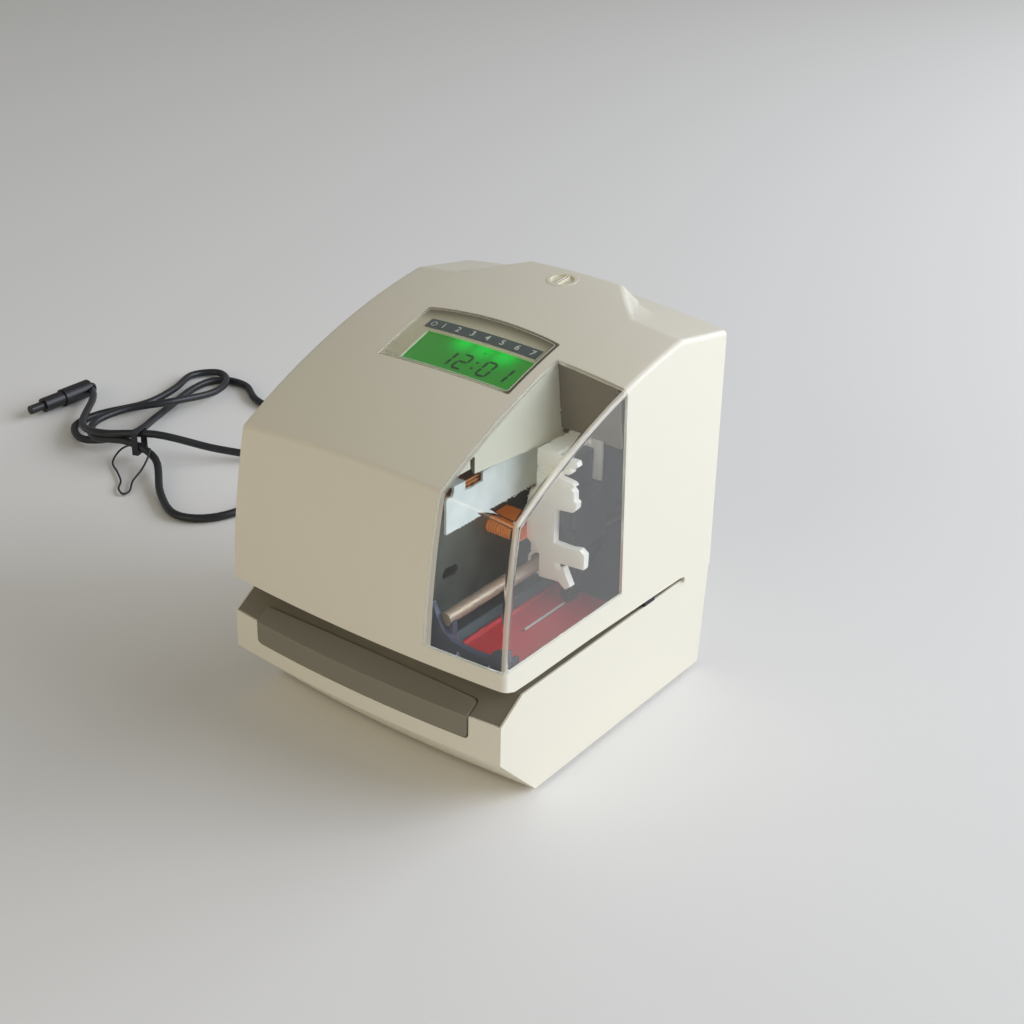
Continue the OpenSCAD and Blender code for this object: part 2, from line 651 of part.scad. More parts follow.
// Cover: crowned top, bowed leaning front and drafted sides, all moved inwards by t
cover_bow_r = 880;
cover_sag = 3.3;
front_arc_r = 383;
back_slope = back_lean / 103;
cover_half = cover_w / 2;
draft = cover_taper / 2 / 105;
lip_z = 61.5;
cover_back = [[-20, 20], [base_d + back_lean - back_slope * 33.4, 20],
  [base_d + back_lean + back_slope * 136.6, 190], [-20, 190]];
cover_sides = [[-cover_half - draft * 41.5, 20], [cover_half + draft * 41.5, 20],
  [cover_half - draft * 128.5, 190], [-cover_half + draft * 128.5, 190]];
module cover_block(t) {
  intersection() {
    union() {
      crowned(t, roof);
      intersection() {
        crowned(t, tent);
        flank(t);
        mirror([1, 0, 0]) flank(t);
        box([-60, 100, 90], [60, 170, 200]);
      }
    }
    bowed(cover_bow_r, cover_sag) intersection() {
      translate([cover_bow_r - front_arc_r, 51.3]) circle(r = front_arc_r - t, $fn = 720);
      translate([cover_bow_r - 200, 20]) square([240, 180]);
    }
    across(-90, 90) polygon(inset(cover_back, t));
    along(-20, 180) polygon(inset(cover_sides, t));
  }
}
module window_space() { box([window_x, -20, window_z], [100, window_back, 200]); }
// Lens outline with its arched upper edge, seen square to the slope
lens_at = [-2.75, 74];
lens_size = [71.5, 37.6];
module lens_outline(t) {
  intersection() {
    translate([-lens_size[0] / 2 + t, -lens_size[1] / 2 + t]) square([lens_size[0] - 2 * t, lens_size[1] + 3 - 2 * t]);
    translate([0, lens_size[1] / 2 + 3 - 214.5]) circle(r = 214.5 - t, $fn = 360);
  }
}
module lens_prism(t) { on_slope(lens_at[0], lens_at[1]) translate([0, 0, -12]) linear_extrude(30) lens_outline(t); }
display_at = [1.5, 68];
display_size = [58, 21];
module on_display() { on_slope(display_at[0], display_at[1]) children(); }
strip_at = [-1, 82.3];
strip_size = [60, 6];
module strip_prism() {
  on_slope(strip_at[0], strip_at[1]) translate([-strip_size[0] / 2, -strip_size[1] / 2, -6])
    cube([strip_size[0], strip_size[1], 20]);
}
lock_at = [0.6, 138.3];
module at_lock() { on_slope(lock_at[0], lock_at[1]) children(); }
lens_t = 1.2;
strip_t = 0.3;
module upper_cover() {
  color("#e9e6da") place() difference() {
    cover_block(0);
    cover_block(wall);
    window_space();
    // Lower edge: front lip, throat and the seam behind it
    across(-90, 90) polygon([[-20, lip_z], [0.2, lip_z], [7, 58.9], [20, 58.5], [59, 58.4], [132, 56.4],
      [seam_y + 0.3, 55.6], [seam_y + 0.3, seam_z + gap], [200, seam_z + gap], [200, 0], [-20, 0]]);
    difference() {
      lens_prism(0);
      cover_block(lens_t);
    }
    difference() {
      strip_prism();
      cover_block(lens_t + strip_t);
    }
    on_display() translate([-display_size[0] / 2, -display_size[1] / 2, -10])
      cube([display_size[0], display_size[1], 20]);
    at_lock() translate([0, 0, -20]) cylinder(d = 14.4, h = 30, $fn = fine);
  }
}
module window() {
  color([0.8, 0.85, 0.85, 0.35]) place() intersection() {
    difference() {
      cover_block(0);
      cover_block(window_t);
    }
    window_space();
  }
}
shroud_t = 1.5;
module back_wall(x0, x1, low) {
  lean = 5 / 36;
  across(x0, x1) polygon([[window_back + (170 - low) * lean, low], [window_back + shroud_t + (170 - low) * lean, low],
    [window_back + shroud_t, 170], [window_back + shroud_t, 190], [window_back, 190], [window_back, 170]]);
}
module window_shroud() {
  color("#8f8b78") place() intersection() {
    union() {
      across(window_x - shroud_t, window_x) polygon([[22, 139], [25.6, 139], [25.6, 143.4], [28.5, 143.4],
        [28.5, 135.9], [90, 131.2], [90, 134], [window_back + 0.5, 170], [window_back + 0.5, 190], [10, 190], [10, 139]]);
      // Back wall that leans away downwards, with a tongue at its right
      back_wall(window_x - shroud_t, 67.2, block_top + 1);
      back_wall(59.4, 67.2, block_top);
    }
    cover_block(wall);
  }
}
module display_lens() {
  color([0.85, 0.88, 0.86, 0.35]) place() intersection() {
    difference() {
      cover_block(0);
      cover_block(lens_t);
    }
    lens_prism(0);
  }
}
module weekday_strip() {
  color("#4a5a5a") place() intersection() {
    difference() {
      cover_block(lens_t);
      cover_block(lens_t + strip_t);
    }
    strip_prism();
  }
}

// Display, its board and the setting buttons under the cover
board_depth = 9;
button_x = [-24, -10, 4];
button_v = 21;
module display_module() {
  color("#2e8b3a") place() on_display() {
    translate([-30.5, -12, -6.6]) cube([61, 24, 2.6]);
    translate([-32, -14, -board_depth]) cube([64, 28, board_depth - 6.6 + eps]);
  }
}
module control_board() {
  color("#2f6b3a") place() on_display() difference() {
    union() {
      translate([-46, -24, -board_depth - 1.6]) cube([80, 54, 1.6]);
      for (x = button_x) translate([x - 3, button_v - 3, -board_depth - eps]) cube([6, 6, 2.2]);
      translate([14, 18, -board_depth - eps]) cube([14, 8, 2]);
    }
    for (x = button_x) translate([x, button_v, -board_depth + 0.6]) cylinder(d = 3.4, h = 4, $fn = fine);
    for (x = [-43, 31], y = [-21, 27]) translate([x, y, -board_depth - 3]) cylinder(d = 3.2, h = 4, $fn = 24);
  }
}
module setting_button(i) {
  color("#26282a") place() on_display() translate([button_x[i], button_v, -board_depth + 1.4]) {
    cylinder(d = 3.2, h = 2.8, $fn = fine);
  }
}
module select_button() { setting_button(0); }
module change_button() { setting_button(1); }
module set_button() { setting_button(2); }
function tray_z(y) = slope_z(display_at[1]) + (y - display_at[1]) * tan(slope_tilt(display_at[1]))
  - (board_depth + 1.6 + sheet / 2) / cos(slope_tilt(display_at[1]));
module board_bracket() {
  low = board_depth + 1.6 + sheet;
  color("#8b9088") place() difference() {
    union() {
      on_display() difference() {
        translate([-46, -24, -low]) cube([side_x - sheet + 44.5, 54, sheet]);
        translate([-34, -15, -low - 1]) cube([40, 36, sheet + 2]);
      }
      // Leg to the floor at the left, flange on the side plate at the right
      across(-44.5, -43.3)
        polygon([[49, floor_z + sheet], [98, floor_z + sheet], [98, tray_z(98)], [49, tray_z(49)]]);
      across(side_x - 2 * sheet, side_x - sheet)
        polygon([[66, 134], [98, 134], [98, tray_z(98)], [66, tray_z(66)]]);
    }
    cross_rod(-50, -40, [73, 102], 34);
  }
}

// Lock in the tent: barrel, turning plug and cam, and the keeper that the cam hooks under
cam_drop = 19;
module lock_barrel() {
  color("#cfcabb") place() at_lock() {
    difference() {
      union() {
        translate([0, 0, -15]) cylinder(d = 14.4, h = 15.1, $fn = fine);
        translate([0, 0, -5.6]) cylinder(d = 20, h = 2.8, $fn = 6);
      }
      translate([0, 0, -16]) cylinder(d = 10.9, h = 20, $fn = fine);
    }
  }
}
module lock_plug() {
  color("#d8d3c4") place() at_lock() difference() {
    union() {
      translate([0, 0, -15.4]) cylinder(d = 10.8, h = 14.6, $fn = fine);
      translate([0, 0, -cam_drop - 2]) cylinder(d = 6, h = 8, $fn = fine);
      translate([-1, -5.2, -1]) cube([2, 10.4, 1]);
    }
    translate([-0.4, -4, -0.5]) cube([0.8, 8, 1]);
  }
}
module lock_cam() {
  color("silver") place() at_lock() translate([0, 0, -cam_drop]) difference() {
    union() {
      cylinder(d = 11, h = 1.6, $fn = 48);
      translate([-4, -16.5, 0]) cube([8, 16.5, 1.6]);
    }
    translate([0, 0, -1]) cylinder(d = 6, h = 4, $fn = fine);
  }
}
module lock_keeper() {
  color("#8b9088") place() {
    box([-32, frame_back - 2 * sheet, 100], [-20, frame_back - sheet, 164.6]);
    box([-32, 131, 163.4], [-9, frame_back - sheet, 164.6]);
  }
}

// Cord from the back of the base: a loose hank at the left, held by a twist tie
plug_len = 22;
route = [[-38, 104, 17.5], [-41, 119, 12], [-60, 140, 4], [-105, 158, 2.5], [-160, 168, 2.5], [-215, 168, 2.5],
  [-262, 160, 2.5], [-303, 163, 2.5], [-328, 176, 2.5], [-347, 172, 2.5], [-350, 152, 2.5], [-333, 106, 4],
  [-320, 77, 7], [-327, 60, 6], [-345, 55, 3], [-362, 65, 3], [-364, 86, 3], [-351, 112, 5],
  [-356, 140, 4], [-366, 165, 3], [-356, 179, 3], [-340, 171, 4], [-328, 147, 7], [-330, 116, 11],
  [-345, 90, 10], [-346, 67, 9], [-330, 53, 9], [-305, 57, 12], [-283, 58, 7], [-254, 35, 3],
  [-228, 23, 2.5], [-209, 36, 2.5], [-204, 68, 2.5], [-218, 97, 2.5], [-243, 104, 3], [-268, 88, 8],
  [-292, 67, 17], [-322, 53, 14], [-350, 61, 9], [-376, 91, 8]];
end_at = [-392, 104, 6];
tie_at = [-300, 63.5, 8];
// Smooth curve through the route, two rings for each point
function curve(a, b, c, d, t) = 0.5 * (2 * b + (c - a) * t + (2 * a - 5 * b + 4 * c - d) * t * t
  + (3 * b - a - 3 * c + d) * t * t * t);
path = let(q = concat([route[0] + [0, -12, 1]], route, [end_at, end_at + [-14, 10, -1]]))
  concat([for (i = [1:len(q) - 3], t = [0, 0.5]) curve(q[i - 1], q[i], q[i + 1], q[i + 2], t)], [end_at]);
module cord_sweep(p, d, sides) {
  n = len(p);
  rings = [for (i = [0:n - 1]) let(u = unit(p[min(i + 1, n - 1)] - p[max(i - 1, 0)]),
    side = unit(cross([0, 0, 1], u)), up = cross(u, side))
    for (k = [0:sides - 1]) p[i] + d / 2 * (cos(k * 360 / sides) * side + sin(k * 360 / sides) * up)];
  polyhedron(rings, concat([[for (k = [0:sides - 1]) k]],
    [for (i = [0:n - 2], k = [0:sides - 1]) [i * sides + k, (i + 1) * sides + k,
      (i + 1) * sides + (k + 1) % sides, i * sides + (k + 1) % sides]],
    [[for (k = [0:sides - 1]) n * sides - 1 - k]]));
}
module supply_cord() { color("#23272a") cord_sweep(path, cord_d, 8); }
module supply_plug() {
  back_y = base_d + back_lean * socket_z / rim_z - mid_y + 0.4;
  color("#1a1c1e") translate([socket_x, 0, socket_z + foot_h]) rotate([-90, 0, 0]) difference() {
    union() {
      translate([0, 0, back_y - 9]) cylinder(d = 5.4, h = 9 + eps, $fn = fine);
      translate([0, 0, back_y]) cylinder(d = 10, h = route[0][1] - back_y - 8, $fn = fine);
      translate([0, 0, route[0][1] - 8 - eps]) cylinder(d1 = 8, d2 = cord_d + 1, h = 7.2, $fn = fine);
    }
    translate([0, 0, back_y - 10]) cylinder(d = 2.1, h = 8, $fn = 32);
  }
}
module adapter_plug() {
  color("#141617") difference() {
    union() {
      translate([-395.5, 104, 6]) rotate([90, 0, 0]) {
        cylinder(d = 11, h = 21, $fn = fine);
        translate([0, 0, 21 - eps]) cylinder(d = 9, h = 15, $fn = fine);
      }
      translate([-395.5, 106.5, 5.75]) rotate([0, 86, -38]) cylinder(d = cord_d + 1.5, h = 4.4, $fn = fine);
    }
    // Socket that the cord's end is moulded into
    translate(end_at) rotate([0, 86, -38]) translate([0, 0, -0.9]) cylinder(d = cord_d + 0.2, h = 8, $fn = fine);
  }
  color("#b08d57") translate([-395.5, 68.1, 6]) rotate([90, 0, 0]) cylinder(d = 5.5, h = 10, $fn = fine);
}
module cord_tie() {
  color("#2a2c2b") translate(tie_at) rotate([0, 0, 20]) difference() {
    translate([-2, -9, -2]) cube([4, 12, 14.4]);
    translate([-3, -8.2, -1.2]) cube([6, 10.4, 12.8]);
  }
}

base_shell();
base_screws();
rubber_feet();
table_plate();
push_bar();
bar_pivot();
bar_switch();
switch_plunger();
platen();
paper_stop();
stop_rail();
power_board();
supply_socket();
head_frame();
side_plate();
frame_screws();
rack_plate();
guide_rod();
front_bracket();
ribbon_mask();
carriage();
rod_bushes();
print_head();
ribbon_gear();
gear_spindle();
drive_motor();
motor_pulley();
idler_pulley();
idler_axle();
drive_belt();
head_cable();
cable_clamp();
control_board();
display_module();
board_bracket();
select_button();
change_button();
set_button();
lock_keeper();
upper_cover();
window();
window_shroud();
display_lens();
weekday_strip();
lock_barrel();
lock_plug();
lock_cam();
supply_plug();
supply_cord();
adapter_plug();
cord_tie();
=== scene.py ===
import json
import math
import bpy
import bmesh
from mathutils import Vector, Matrix
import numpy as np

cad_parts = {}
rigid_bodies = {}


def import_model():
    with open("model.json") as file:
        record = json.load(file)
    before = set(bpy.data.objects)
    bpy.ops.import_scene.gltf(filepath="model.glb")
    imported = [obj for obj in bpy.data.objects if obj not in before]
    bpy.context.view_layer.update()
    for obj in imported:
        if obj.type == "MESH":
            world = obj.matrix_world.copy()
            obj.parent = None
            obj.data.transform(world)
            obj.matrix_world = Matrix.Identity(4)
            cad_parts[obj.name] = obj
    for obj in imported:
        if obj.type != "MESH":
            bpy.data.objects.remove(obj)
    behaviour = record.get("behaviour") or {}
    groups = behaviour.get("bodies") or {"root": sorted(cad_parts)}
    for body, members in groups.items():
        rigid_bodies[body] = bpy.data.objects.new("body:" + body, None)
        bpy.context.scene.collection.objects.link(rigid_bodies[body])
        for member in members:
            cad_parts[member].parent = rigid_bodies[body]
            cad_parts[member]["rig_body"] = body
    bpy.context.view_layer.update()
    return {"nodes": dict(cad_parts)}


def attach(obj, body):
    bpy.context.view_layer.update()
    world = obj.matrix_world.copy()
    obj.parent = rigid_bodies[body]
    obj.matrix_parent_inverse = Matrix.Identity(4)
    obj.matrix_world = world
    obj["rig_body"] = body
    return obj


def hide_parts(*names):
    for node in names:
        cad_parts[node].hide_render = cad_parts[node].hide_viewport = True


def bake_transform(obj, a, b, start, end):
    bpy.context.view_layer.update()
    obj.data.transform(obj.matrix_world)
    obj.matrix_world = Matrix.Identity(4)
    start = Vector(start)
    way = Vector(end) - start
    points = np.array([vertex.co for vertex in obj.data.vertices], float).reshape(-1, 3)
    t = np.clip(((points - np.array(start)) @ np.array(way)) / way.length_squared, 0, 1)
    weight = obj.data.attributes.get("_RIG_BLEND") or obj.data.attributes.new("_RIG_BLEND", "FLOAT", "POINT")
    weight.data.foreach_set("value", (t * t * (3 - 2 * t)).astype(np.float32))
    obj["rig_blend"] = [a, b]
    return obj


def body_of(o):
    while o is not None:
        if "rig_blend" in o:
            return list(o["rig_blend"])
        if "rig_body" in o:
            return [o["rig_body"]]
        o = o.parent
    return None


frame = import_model()
nodes = frame["nodes"]
scene = bpy.context.scene
scene.view_settings.view_transform = "Standard"
mm = 0.001


# camera, at the photograph's viewing angle
cameraSettings = {"azimuth": 36.527, "elevation": 27.313, "roll": 1.330, "lens": 60.037,
                  "sensor": 36, "nearest": 0.01, "place": (0.41730, -0.53745, 0.44010)}


def addCamera(settings):
    az, el, roll = (math.radians(settings[k]) for k in ("azimuth", "elevation", "roll"))
    back = Vector((math.sin(az) * math.cos(el), -math.cos(az) * math.cos(el), math.sin(el)))
    level = Vector((0, 0, 1)).cross(back).normalized()
    upright = back.cross(level)
    right = math.cos(roll) * level + math.sin(roll) * upright
    up = -math.sin(roll) * level + math.cos(roll) * upright
    data = bpy.data.cameras.new("photoCamera")
    data.lens = settings["lens"]
    data.sensor_width = settings["sensor"]
    data.clip_start = settings["nearest"]
    camera = bpy.data.objects.new("photoCamera", data)
    scene.collection.objects.link(camera)
    turn = Matrix((right, up, back)).transposed().to_4x4()
    camera.matrix_world = Matrix.Translation(settings["place"]) @ turn
    scene.camera = camera


addCamera(cameraSettings)
print("camera placed")


# material helpers
def linear(hexColour):
    values = [int(hexColour[i:i + 2], 16) / 255 for i in (1, 3, 5)]
    return [v / 12.92 if v <= 0.04045 else ((v + 0.055) / 1.055) ** 2.4 for v in values] + [1]


def addNode(tree, kind, settings=None, links=None):
    node = tree.nodes.new(kind)
    for key, value in (settings or {}).items():
        if key in node.inputs:
            node.inputs[key].default_value = value
        else:
            setattr(node, key, value)
    for key, source in (links or {}).items():
        tree.links.new(source, node.inputs[key])
    return node


def newMaterial(name, colour, roughness, **sockets):
    material = bpy.data.materials.new(name)
    material.use_nodes = True
    tree = material.node_tree
    tree.nodes.clear()
    shader = addNode(tree, "ShaderNodeBsdfPrincipled",
                     {"Base Color": linear(colour), "Roughness": roughness, **sockets})
    addNode(tree, "ShaderNodeOutputMaterial", links={"Surface": shader.outputs[0]})
    return material


def nodesOf(material):
    tree = material.node_tree
    return tree, tree.nodes["Principled BSDF"]


def addRamp(tree, level, stops):  # stops are (position, colour), in rising order
    ramp = addNode(tree, "ShaderNodeValToRGB", links={"Fac": level})
    elements = ramp.color_ramp.elements
    while len(elements) < len(stops):
        elements.new(0.5)
    for i, (position, colour) in enumerate(stops):
        elements[i].position = position
        elements[i].color = linear(colour)
    return ramp.outputs["Color"]


def addNoise(tree, sizeMm, detail):
    at = addNode(tree, "ShaderNodeTexCoord")
    noise = addNode(tree, "ShaderNodeTexNoise", {"Scale": 1000 / sizeMm, "Detail": detail},
                    {"Vector": at.outputs["Object"]})
    return noise.outputs["Fac"]


def grain(material, sizeMm, depthMm):  # fine moulded or cast texture, as bump
    tree, shader = nodesOf(material)
    bump = addNode(tree, "ShaderNodeBump", {"Strength": 1.0, "Distance": depthMm * mm},
                   {"Height": addNoise(tree, sizeMm, 2.0)})
    tree.links.new(bump.outputs[0], shader.inputs["Normal"])


def mottle(material, colourA, colourB, sizeMm):  # slow change between two colours
    tree, shader = nodesOf(material)
    colour = addRamp(tree, addNoise(tree, sizeMm, 3.0), [(0.35, colourA), (0.65, colourB)])
    tree.links.new(colour, shader.inputs["Base Color"])


def tracks(material, pitchMm, film, track, way="X"):  # copper tracks seen through a film
    tree, shader = nodesOf(material)
    at = addNode(tree, "ShaderNodeTexCoord")
    wave = addNode(tree, "ShaderNodeTexWave",
                   {"bands_direction": way, "Scale": math.pi / (10 * pitchMm * mm)},
                   {"Vector": at.outputs["Object"]})
    colour = addRamp(tree, wave.outputs["Fac"], [(0.35, track), (0.5, film)])
    tree.links.new(colour, shader.inputs["Base Color"])


def distanceLevel(tree, centre, near, far, nearLevel, farLevel):  # smooth change around a point
    at = addNode(tree, "ShaderNodeTexCoord")
    distance = addNode(tree, "ShaderNodeVectorMath", {"operation": "DISTANCE"},
                       {0: at.outputs["Object"]})
    distance.inputs[1].default_value = centre
    level = addNode(tree, "ShaderNodeMapRange",
                    {"interpolation_type": "SMOOTHSTEP", "From Min": near * mm,
                     "From Max": far * mm, "To Min": nearLevel, "To Max": farLevel},
                    {"Value": distance.outputs["Value"]})
    return level.outputs["Result"]


def highest(tree, levels):
    level = levels[0]
    for other in levels[1:]:
        both = addNode(tree, "ShaderNodeMath", {"operation": "MAXIMUM"}, {0: level, 1: other})
        level = both.outputs[0]
    return level


# thin clear acrylic, which lets lamp light through as well as the view
def clearMaterial(name, colour, roughness, clarity=1.0):
    material = newMaterial(name, colour, roughness,
                           **{"Transmission Weight": clarity, "IOR": 1.49})
    tree, shader = nodesOf(material)
    light = addNode(tree, "ShaderNodeLightPath")
    through = addNode(tree, "ShaderNodeBsdfTransparent", {"Color": linear(colour)})
    mix = addNode(tree, "ShaderNodeMixShader", links={"Fac": light.outputs["Is Shadow Ray"]})
    tree.links.new(shader.outputs[0], mix.inputs[1])
    tree.links.new(through.outputs[0], mix.inputs[2])
    tree.links.new(mix.outputs[0], tree.nodes["Material Output"].inputs["Surface"])
    return material


# mesh helpers: points are in mm, from the middle of the base's lower edge between its front corners
frontmost, rearmost, footHeight = -4.8, 163.5, 2
middleY = (frontmost + rearmost) / 2  # the frame's origin lies there, on the desk


def place(point):
    return Vector((point[0] * mm, (point[1] - middleY) * mm, (point[2] + footHeight) * mm))


def placeOf(face):  # a face's middle, back in mm
    return face.center / mm - place((0, 0, 0)) / mm


def addObject(name, mesh, material, body):
    piece = bpy.data.objects.new(name, mesh)
    scene.collection.objects.link(piece)
    mesh.materials.clear()
    mesh.materials.append(material)
    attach(piece, body)
    return piece


def evaluated(carrier):  # final mesh of a throwaway object
    graph = bpy.context.evaluated_depsgraph_get()
    mesh = bpy.data.meshes.new_from_object(carrier.evaluated_get(graph))
    bpy.data.objects.remove(carrier)
    return mesh


def applied(mesh, modifiers):  # mesh after a list of (kind, settings)
    carrier = bpy.data.objects.new("carrier", mesh)
    scene.collection.objects.link(carrier)
    for kind, settings in modifiers:
        modifier = carrier.modifiers.new(kind, kind)
        for key, value in settings.items():
            setattr(modifier, key, value)
    return evaluated(carrier)


def smoothMesh(mesh, degrees):  # flats shade flat, and only real edges stay sharp
    mesh.polygons.foreach_set("use_smooth", [True] * len(mesh.polygons))
    mesh.set_sharp_from_angle(angle=math.radians(degrees))
    return applied(mesh, [("WEIGHTED_NORMAL", {"weight": 100, "keep_sharp": True})])


def rounded(mesh, widthMm, segments=3, degrees=30, clean=True):  # softened edges
    steps = []
    if clean:
        steps += [("WELD", {"merge_threshold": 1e-5}),
                  ("DECIMATE", {"decimate_type": "DISSOLVE", "angle_limit": math.radians(0.4)})]
    steps += [("BEVEL", {"width": widthMm * mm, "segments": segments, "limit_method": "ANGLE",
                         "angle_limit": math.radians(degrees), "use_clamp_overlap": True,
                         "miter_outer": "MITER_ARC"})]
    return applied(mesh, steps)


def carve(mesh, *steps):  # each step is (operation, mesh)
    for operation, other in steps:
        tool = bpy.data.objects.new("cutter", other)
        scene.collection.objects.link(tool)
        mesh = applied(mesh, [("BOOLEAN", {"operation": operation, "object": tool,
                                           "solver": "EXACT"})])
        bpy.data.objects.remove(tool)
    return mesh


def meshFrom(name, points, faces):
    mesh = bpy.data.meshes.new(name)
    mesh.from_pydata([place(p) for p in points], [], faces)
    mesh.update()
    return mesh


def facingOut(mesh):
    shape = bmesh.new()
    shape.from_mesh(mesh)
    bmesh.ops.recalc_face_normals(shape, faces=shape.faces)
    shape.to_mesh(mesh)
    shape.free()
    return mesh


def boxMesh(low, high):
    corners = [(x, y, z) for x in (low[0], high[0]) for y in (low[1], high[1])
               for z in (low[2], high[2])]
    faces = [(0, 1, 3, 2), (4, 6, 7, 5), (0, 4, 5, 1), (2, 3, 7, 6), (0, 2, 6, 4), (1, 5, 7, 3)]
    return meshFrom("box", corners, faces)


def prismMesh(outline, toPoint, low, high):  # closed outline drawn out between two levels
    count = len(outline)
    points = [toPoint(p, low) for p in outline] + [toPoint(p, high) for p in outline]
    faces = [tuple(range(count))[::-1], tuple(range(count, 2 * count))]
    faces += [(i, (i + 1) % count, count + (i + 1) % count, count + i) for i in range(count)]
    return facingOut(meshFrom("prism", points, faces))


def dressed(nodeName, material, widthMm, segments=2):  # one of the solids, its edges softened
    node = nodes[nodeName]
    mesh = smoothMesh(rounded(node.data.copy(), widthMm, segments), degrees=30)
    words = nodeName.split("_")
    name = words[0] + "".join(w.capitalize() for w in words[1:])
    piece = addObject(name, mesh, material, body_of(node)[0])
    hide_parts(nodeName)
    return piece


# soft vinyl: satin black cord sheath
cordVinyl = newMaterial("cordVinylExtruded", "#1D2024", 0.42, IOR=1.52)
grain(cordVinyl, 0.8, 0.01)
# nylon and ABS in black: small fittings that only show as dark shapes
blackNylon = newMaterial("blackNylonMoulded", "#1B1C1E", 0.45, IOR=1.53)

# cord: one smooth line through the route, in mm in the frame's own place
cordSettings = {"diameter": 4.5, "stepsPerPoint": 6, "leadIn": (0, -12, 1),
                "leadOut": (-14, 10, -1)}
cordRoute = [
    (-38, 104, 17.5), (-41, 119, 12), (-60, 140, 4), (-105, 158, 2.5), (-160, 168, 2.5),
    (-215, 168, 2.5), (-262, 160, 2.5), (-303, 163, 2.5), (-328, 176, 2.5), (-347, 172, 2.5),
    (-350, 152, 2.5), (-333, 106, 4), (-320, 77, 7), (-327, 60, 6), (-345, 55, 3), (-362, 65, 3),
    (-364, 86, 3), (-351, 112, 5), (-356, 140, 4), (-366, 165, 3), (-356, 179, 3), (-340, 171, 4),
    (-328, 147, 7), (-330, 116, 11), (-345, 90, 10), (-346, 67, 9), (-330, 53, 9),
    (-305, 57, 12), (-283, 58, 7), (-254, 35, 3), (-228, 23, 2.5), (-209, 36, 2.5),
    (-204, 68, 2.5), (-218, 97, 2.5), (-243, 104, 3), (-268, 88, 8), (-292, 67, 17),
    (-322, 53, 14), (-350, 61, 9), (-376, 91, 8), (-392, 104, 6)]
# the thin wire that ties the bundle, its two ends twisted and bent out over the desk
tieSettings = {"diameter": 1.2, "stepsPerPoint": 4, "before": (-290, 58, 13),
               "after": (-290, 60, 14)}
tieRoute = [
    (-292, 60, 12), (-302, 62, 10), (-312, 58, 5), (-308, 47, 1.6), (-296, 40, 1.4),
    (-285.4, 33.3, 1.4), (-279, 26, 1.4), (-272, 23, 1.4), (-272, 28, 1.4), (-279.3, 37, 2),
    (-283, 47, 4), (-286, 55, 8), (-288, 59, 12)]


def curvePoint(a, b, c, d, t):  # between b and c, on a smooth curve through all four
    return 0.5 * (2 * b + (c - a) * t + (2 * a - 5 * b + 4 * c - d) * t * t
                  + (3 * b - a - 3 * c + d) * t ** 3)


def smoothLine(points, before, after, steps):
    q = [Vector(before)] + [Vector(p) for p in points] + [Vector(after)]
    line = [curvePoint(*q[i - 1:i + 3], k / steps)
            for i in range(1, len(q) - 2) for k in range(steps)]
    return [p * mm for p in line + [q[-2]]]


def tube(name, line, diameterMm):
    data = bpy.data.curves.new(name, "CURVE")
    data.dimensions = "3D"
    data.bevel_depth = diameterMm * mm / 2
    data.bevel_resolution = 5
    data.use_fill_caps = True
    spline = data.splines.new("POLY")
    spline.points.add(len(line) - 1)
    for point, at in zip(spline.points, line):
        point.co = (*at, 1)
    spline.use_smooth = True
    return addObject(name, data, cordVinyl, "base")


before = Vector(cordRoute[0]) + Vector(cordSettings["leadIn"])
after = Vector(cordRoute[-1]) + Vector(cordSettings["leadOut"])
cordLine = smoothLine(cordRoute, before, after, cordSettings["stepsPerPoint"])
cordPiece = tube("supplyCord", cordLine, cordSettings["diameter"])
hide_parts("supply_cord")
cordLength = sum((b - a).length for a, b in zip(cordLine, cordLine[1:]))
tieLine = smoothLine(tieRoute, tieSettings["before"], tieSettings["after"],
                     tieSettings["stepsPerPoint"])
tieEnds = tube("tieWireEnds", tieLine, tieSettings["diameter"])
cordEnds = [dressed("supply_plug", blackNylon, 0.4), dressed("adapter_plug", blackNylon, 0.6),
            dressed("cord_tie", cordVinyl, 0.25), tieEnds]
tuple(cordLine[0])
print("cord laid, length", round(cordLength, 4))


# ABS, moulded in a satin-polished tool: warm ivory with soft highlights along the edges
ivoryAbs = newMaterial("ivoryAbsMoulded", "#ECE7D4", 0.36, IOR=1.52)
grain(ivoryAbs, 0.9, 0.012)
# ABS with a spark-eroded texture: dull taupe that takes no sharp reflection
taupeAbs = newMaterial("taupeAbsTextured", "#827C6A", 0.5, IOR=1.52)
grain(taupeAbs, 0.6, 0.03)
# the bar is the same plastic, a touch lighter and smoother where fingers press it
barAbs = newMaterial("barAbsTextured", "#85806F", 0.46, IOR=1.52)
grain(barAbs, 0.6, 0.03)
# acrylic, moulded: water-clear in the window, a touch softer in the lens
clearAcrylic = clearMaterial("clearAcrylicMoulded", "#F2F5F3", 0.02)
lensAcrylic = clearMaterial("lensAcrylicMoulded", "#F4F6F2", 0.03)
# the side sheet faces the dust and the light: clear with a slight grey bloom
sideAcrylic = clearMaterial("sideAcrylicBloomed", "#F2F3F2", 0.03, 0.955)
# painted highlight: acrylic at a cut edge, and in bands beside it, painted milky bright for the light that
# travels along the sheet to it
rimHighlightAcrylic = newMaterial("rimAcrylicPaintedHighlight", "#F0EDE2", 0.16, IOR=1.49,
                         **{"Transmission Weight": 0.35})
# painted sheen: acrylic at a bend, only half clear, with a cream-white colour that stands in for the light
# the bend gathers
bendSheenAcrylic = newMaterial("bendAcrylicPaintedSheen", "#F8F0DC", 0.14, IOR=1.49,
                          **{"Transmission Weight": 0.52})
# polystyrene, moulded: ivory inner walls behind the window, a little greyer than the cover
shroudStyrene = newMaterial("shroudStyreneMoulded", "#E9E4D0", 0.42, IOR=1.55)
# painted shade: the back wall is the same plastic, painted brown where it lies in the deepest shade
shroudShadeStyrene = newMaterial("shroudStyrenePaintedShade", "#7C7260", 0.46, IOR=1.55)
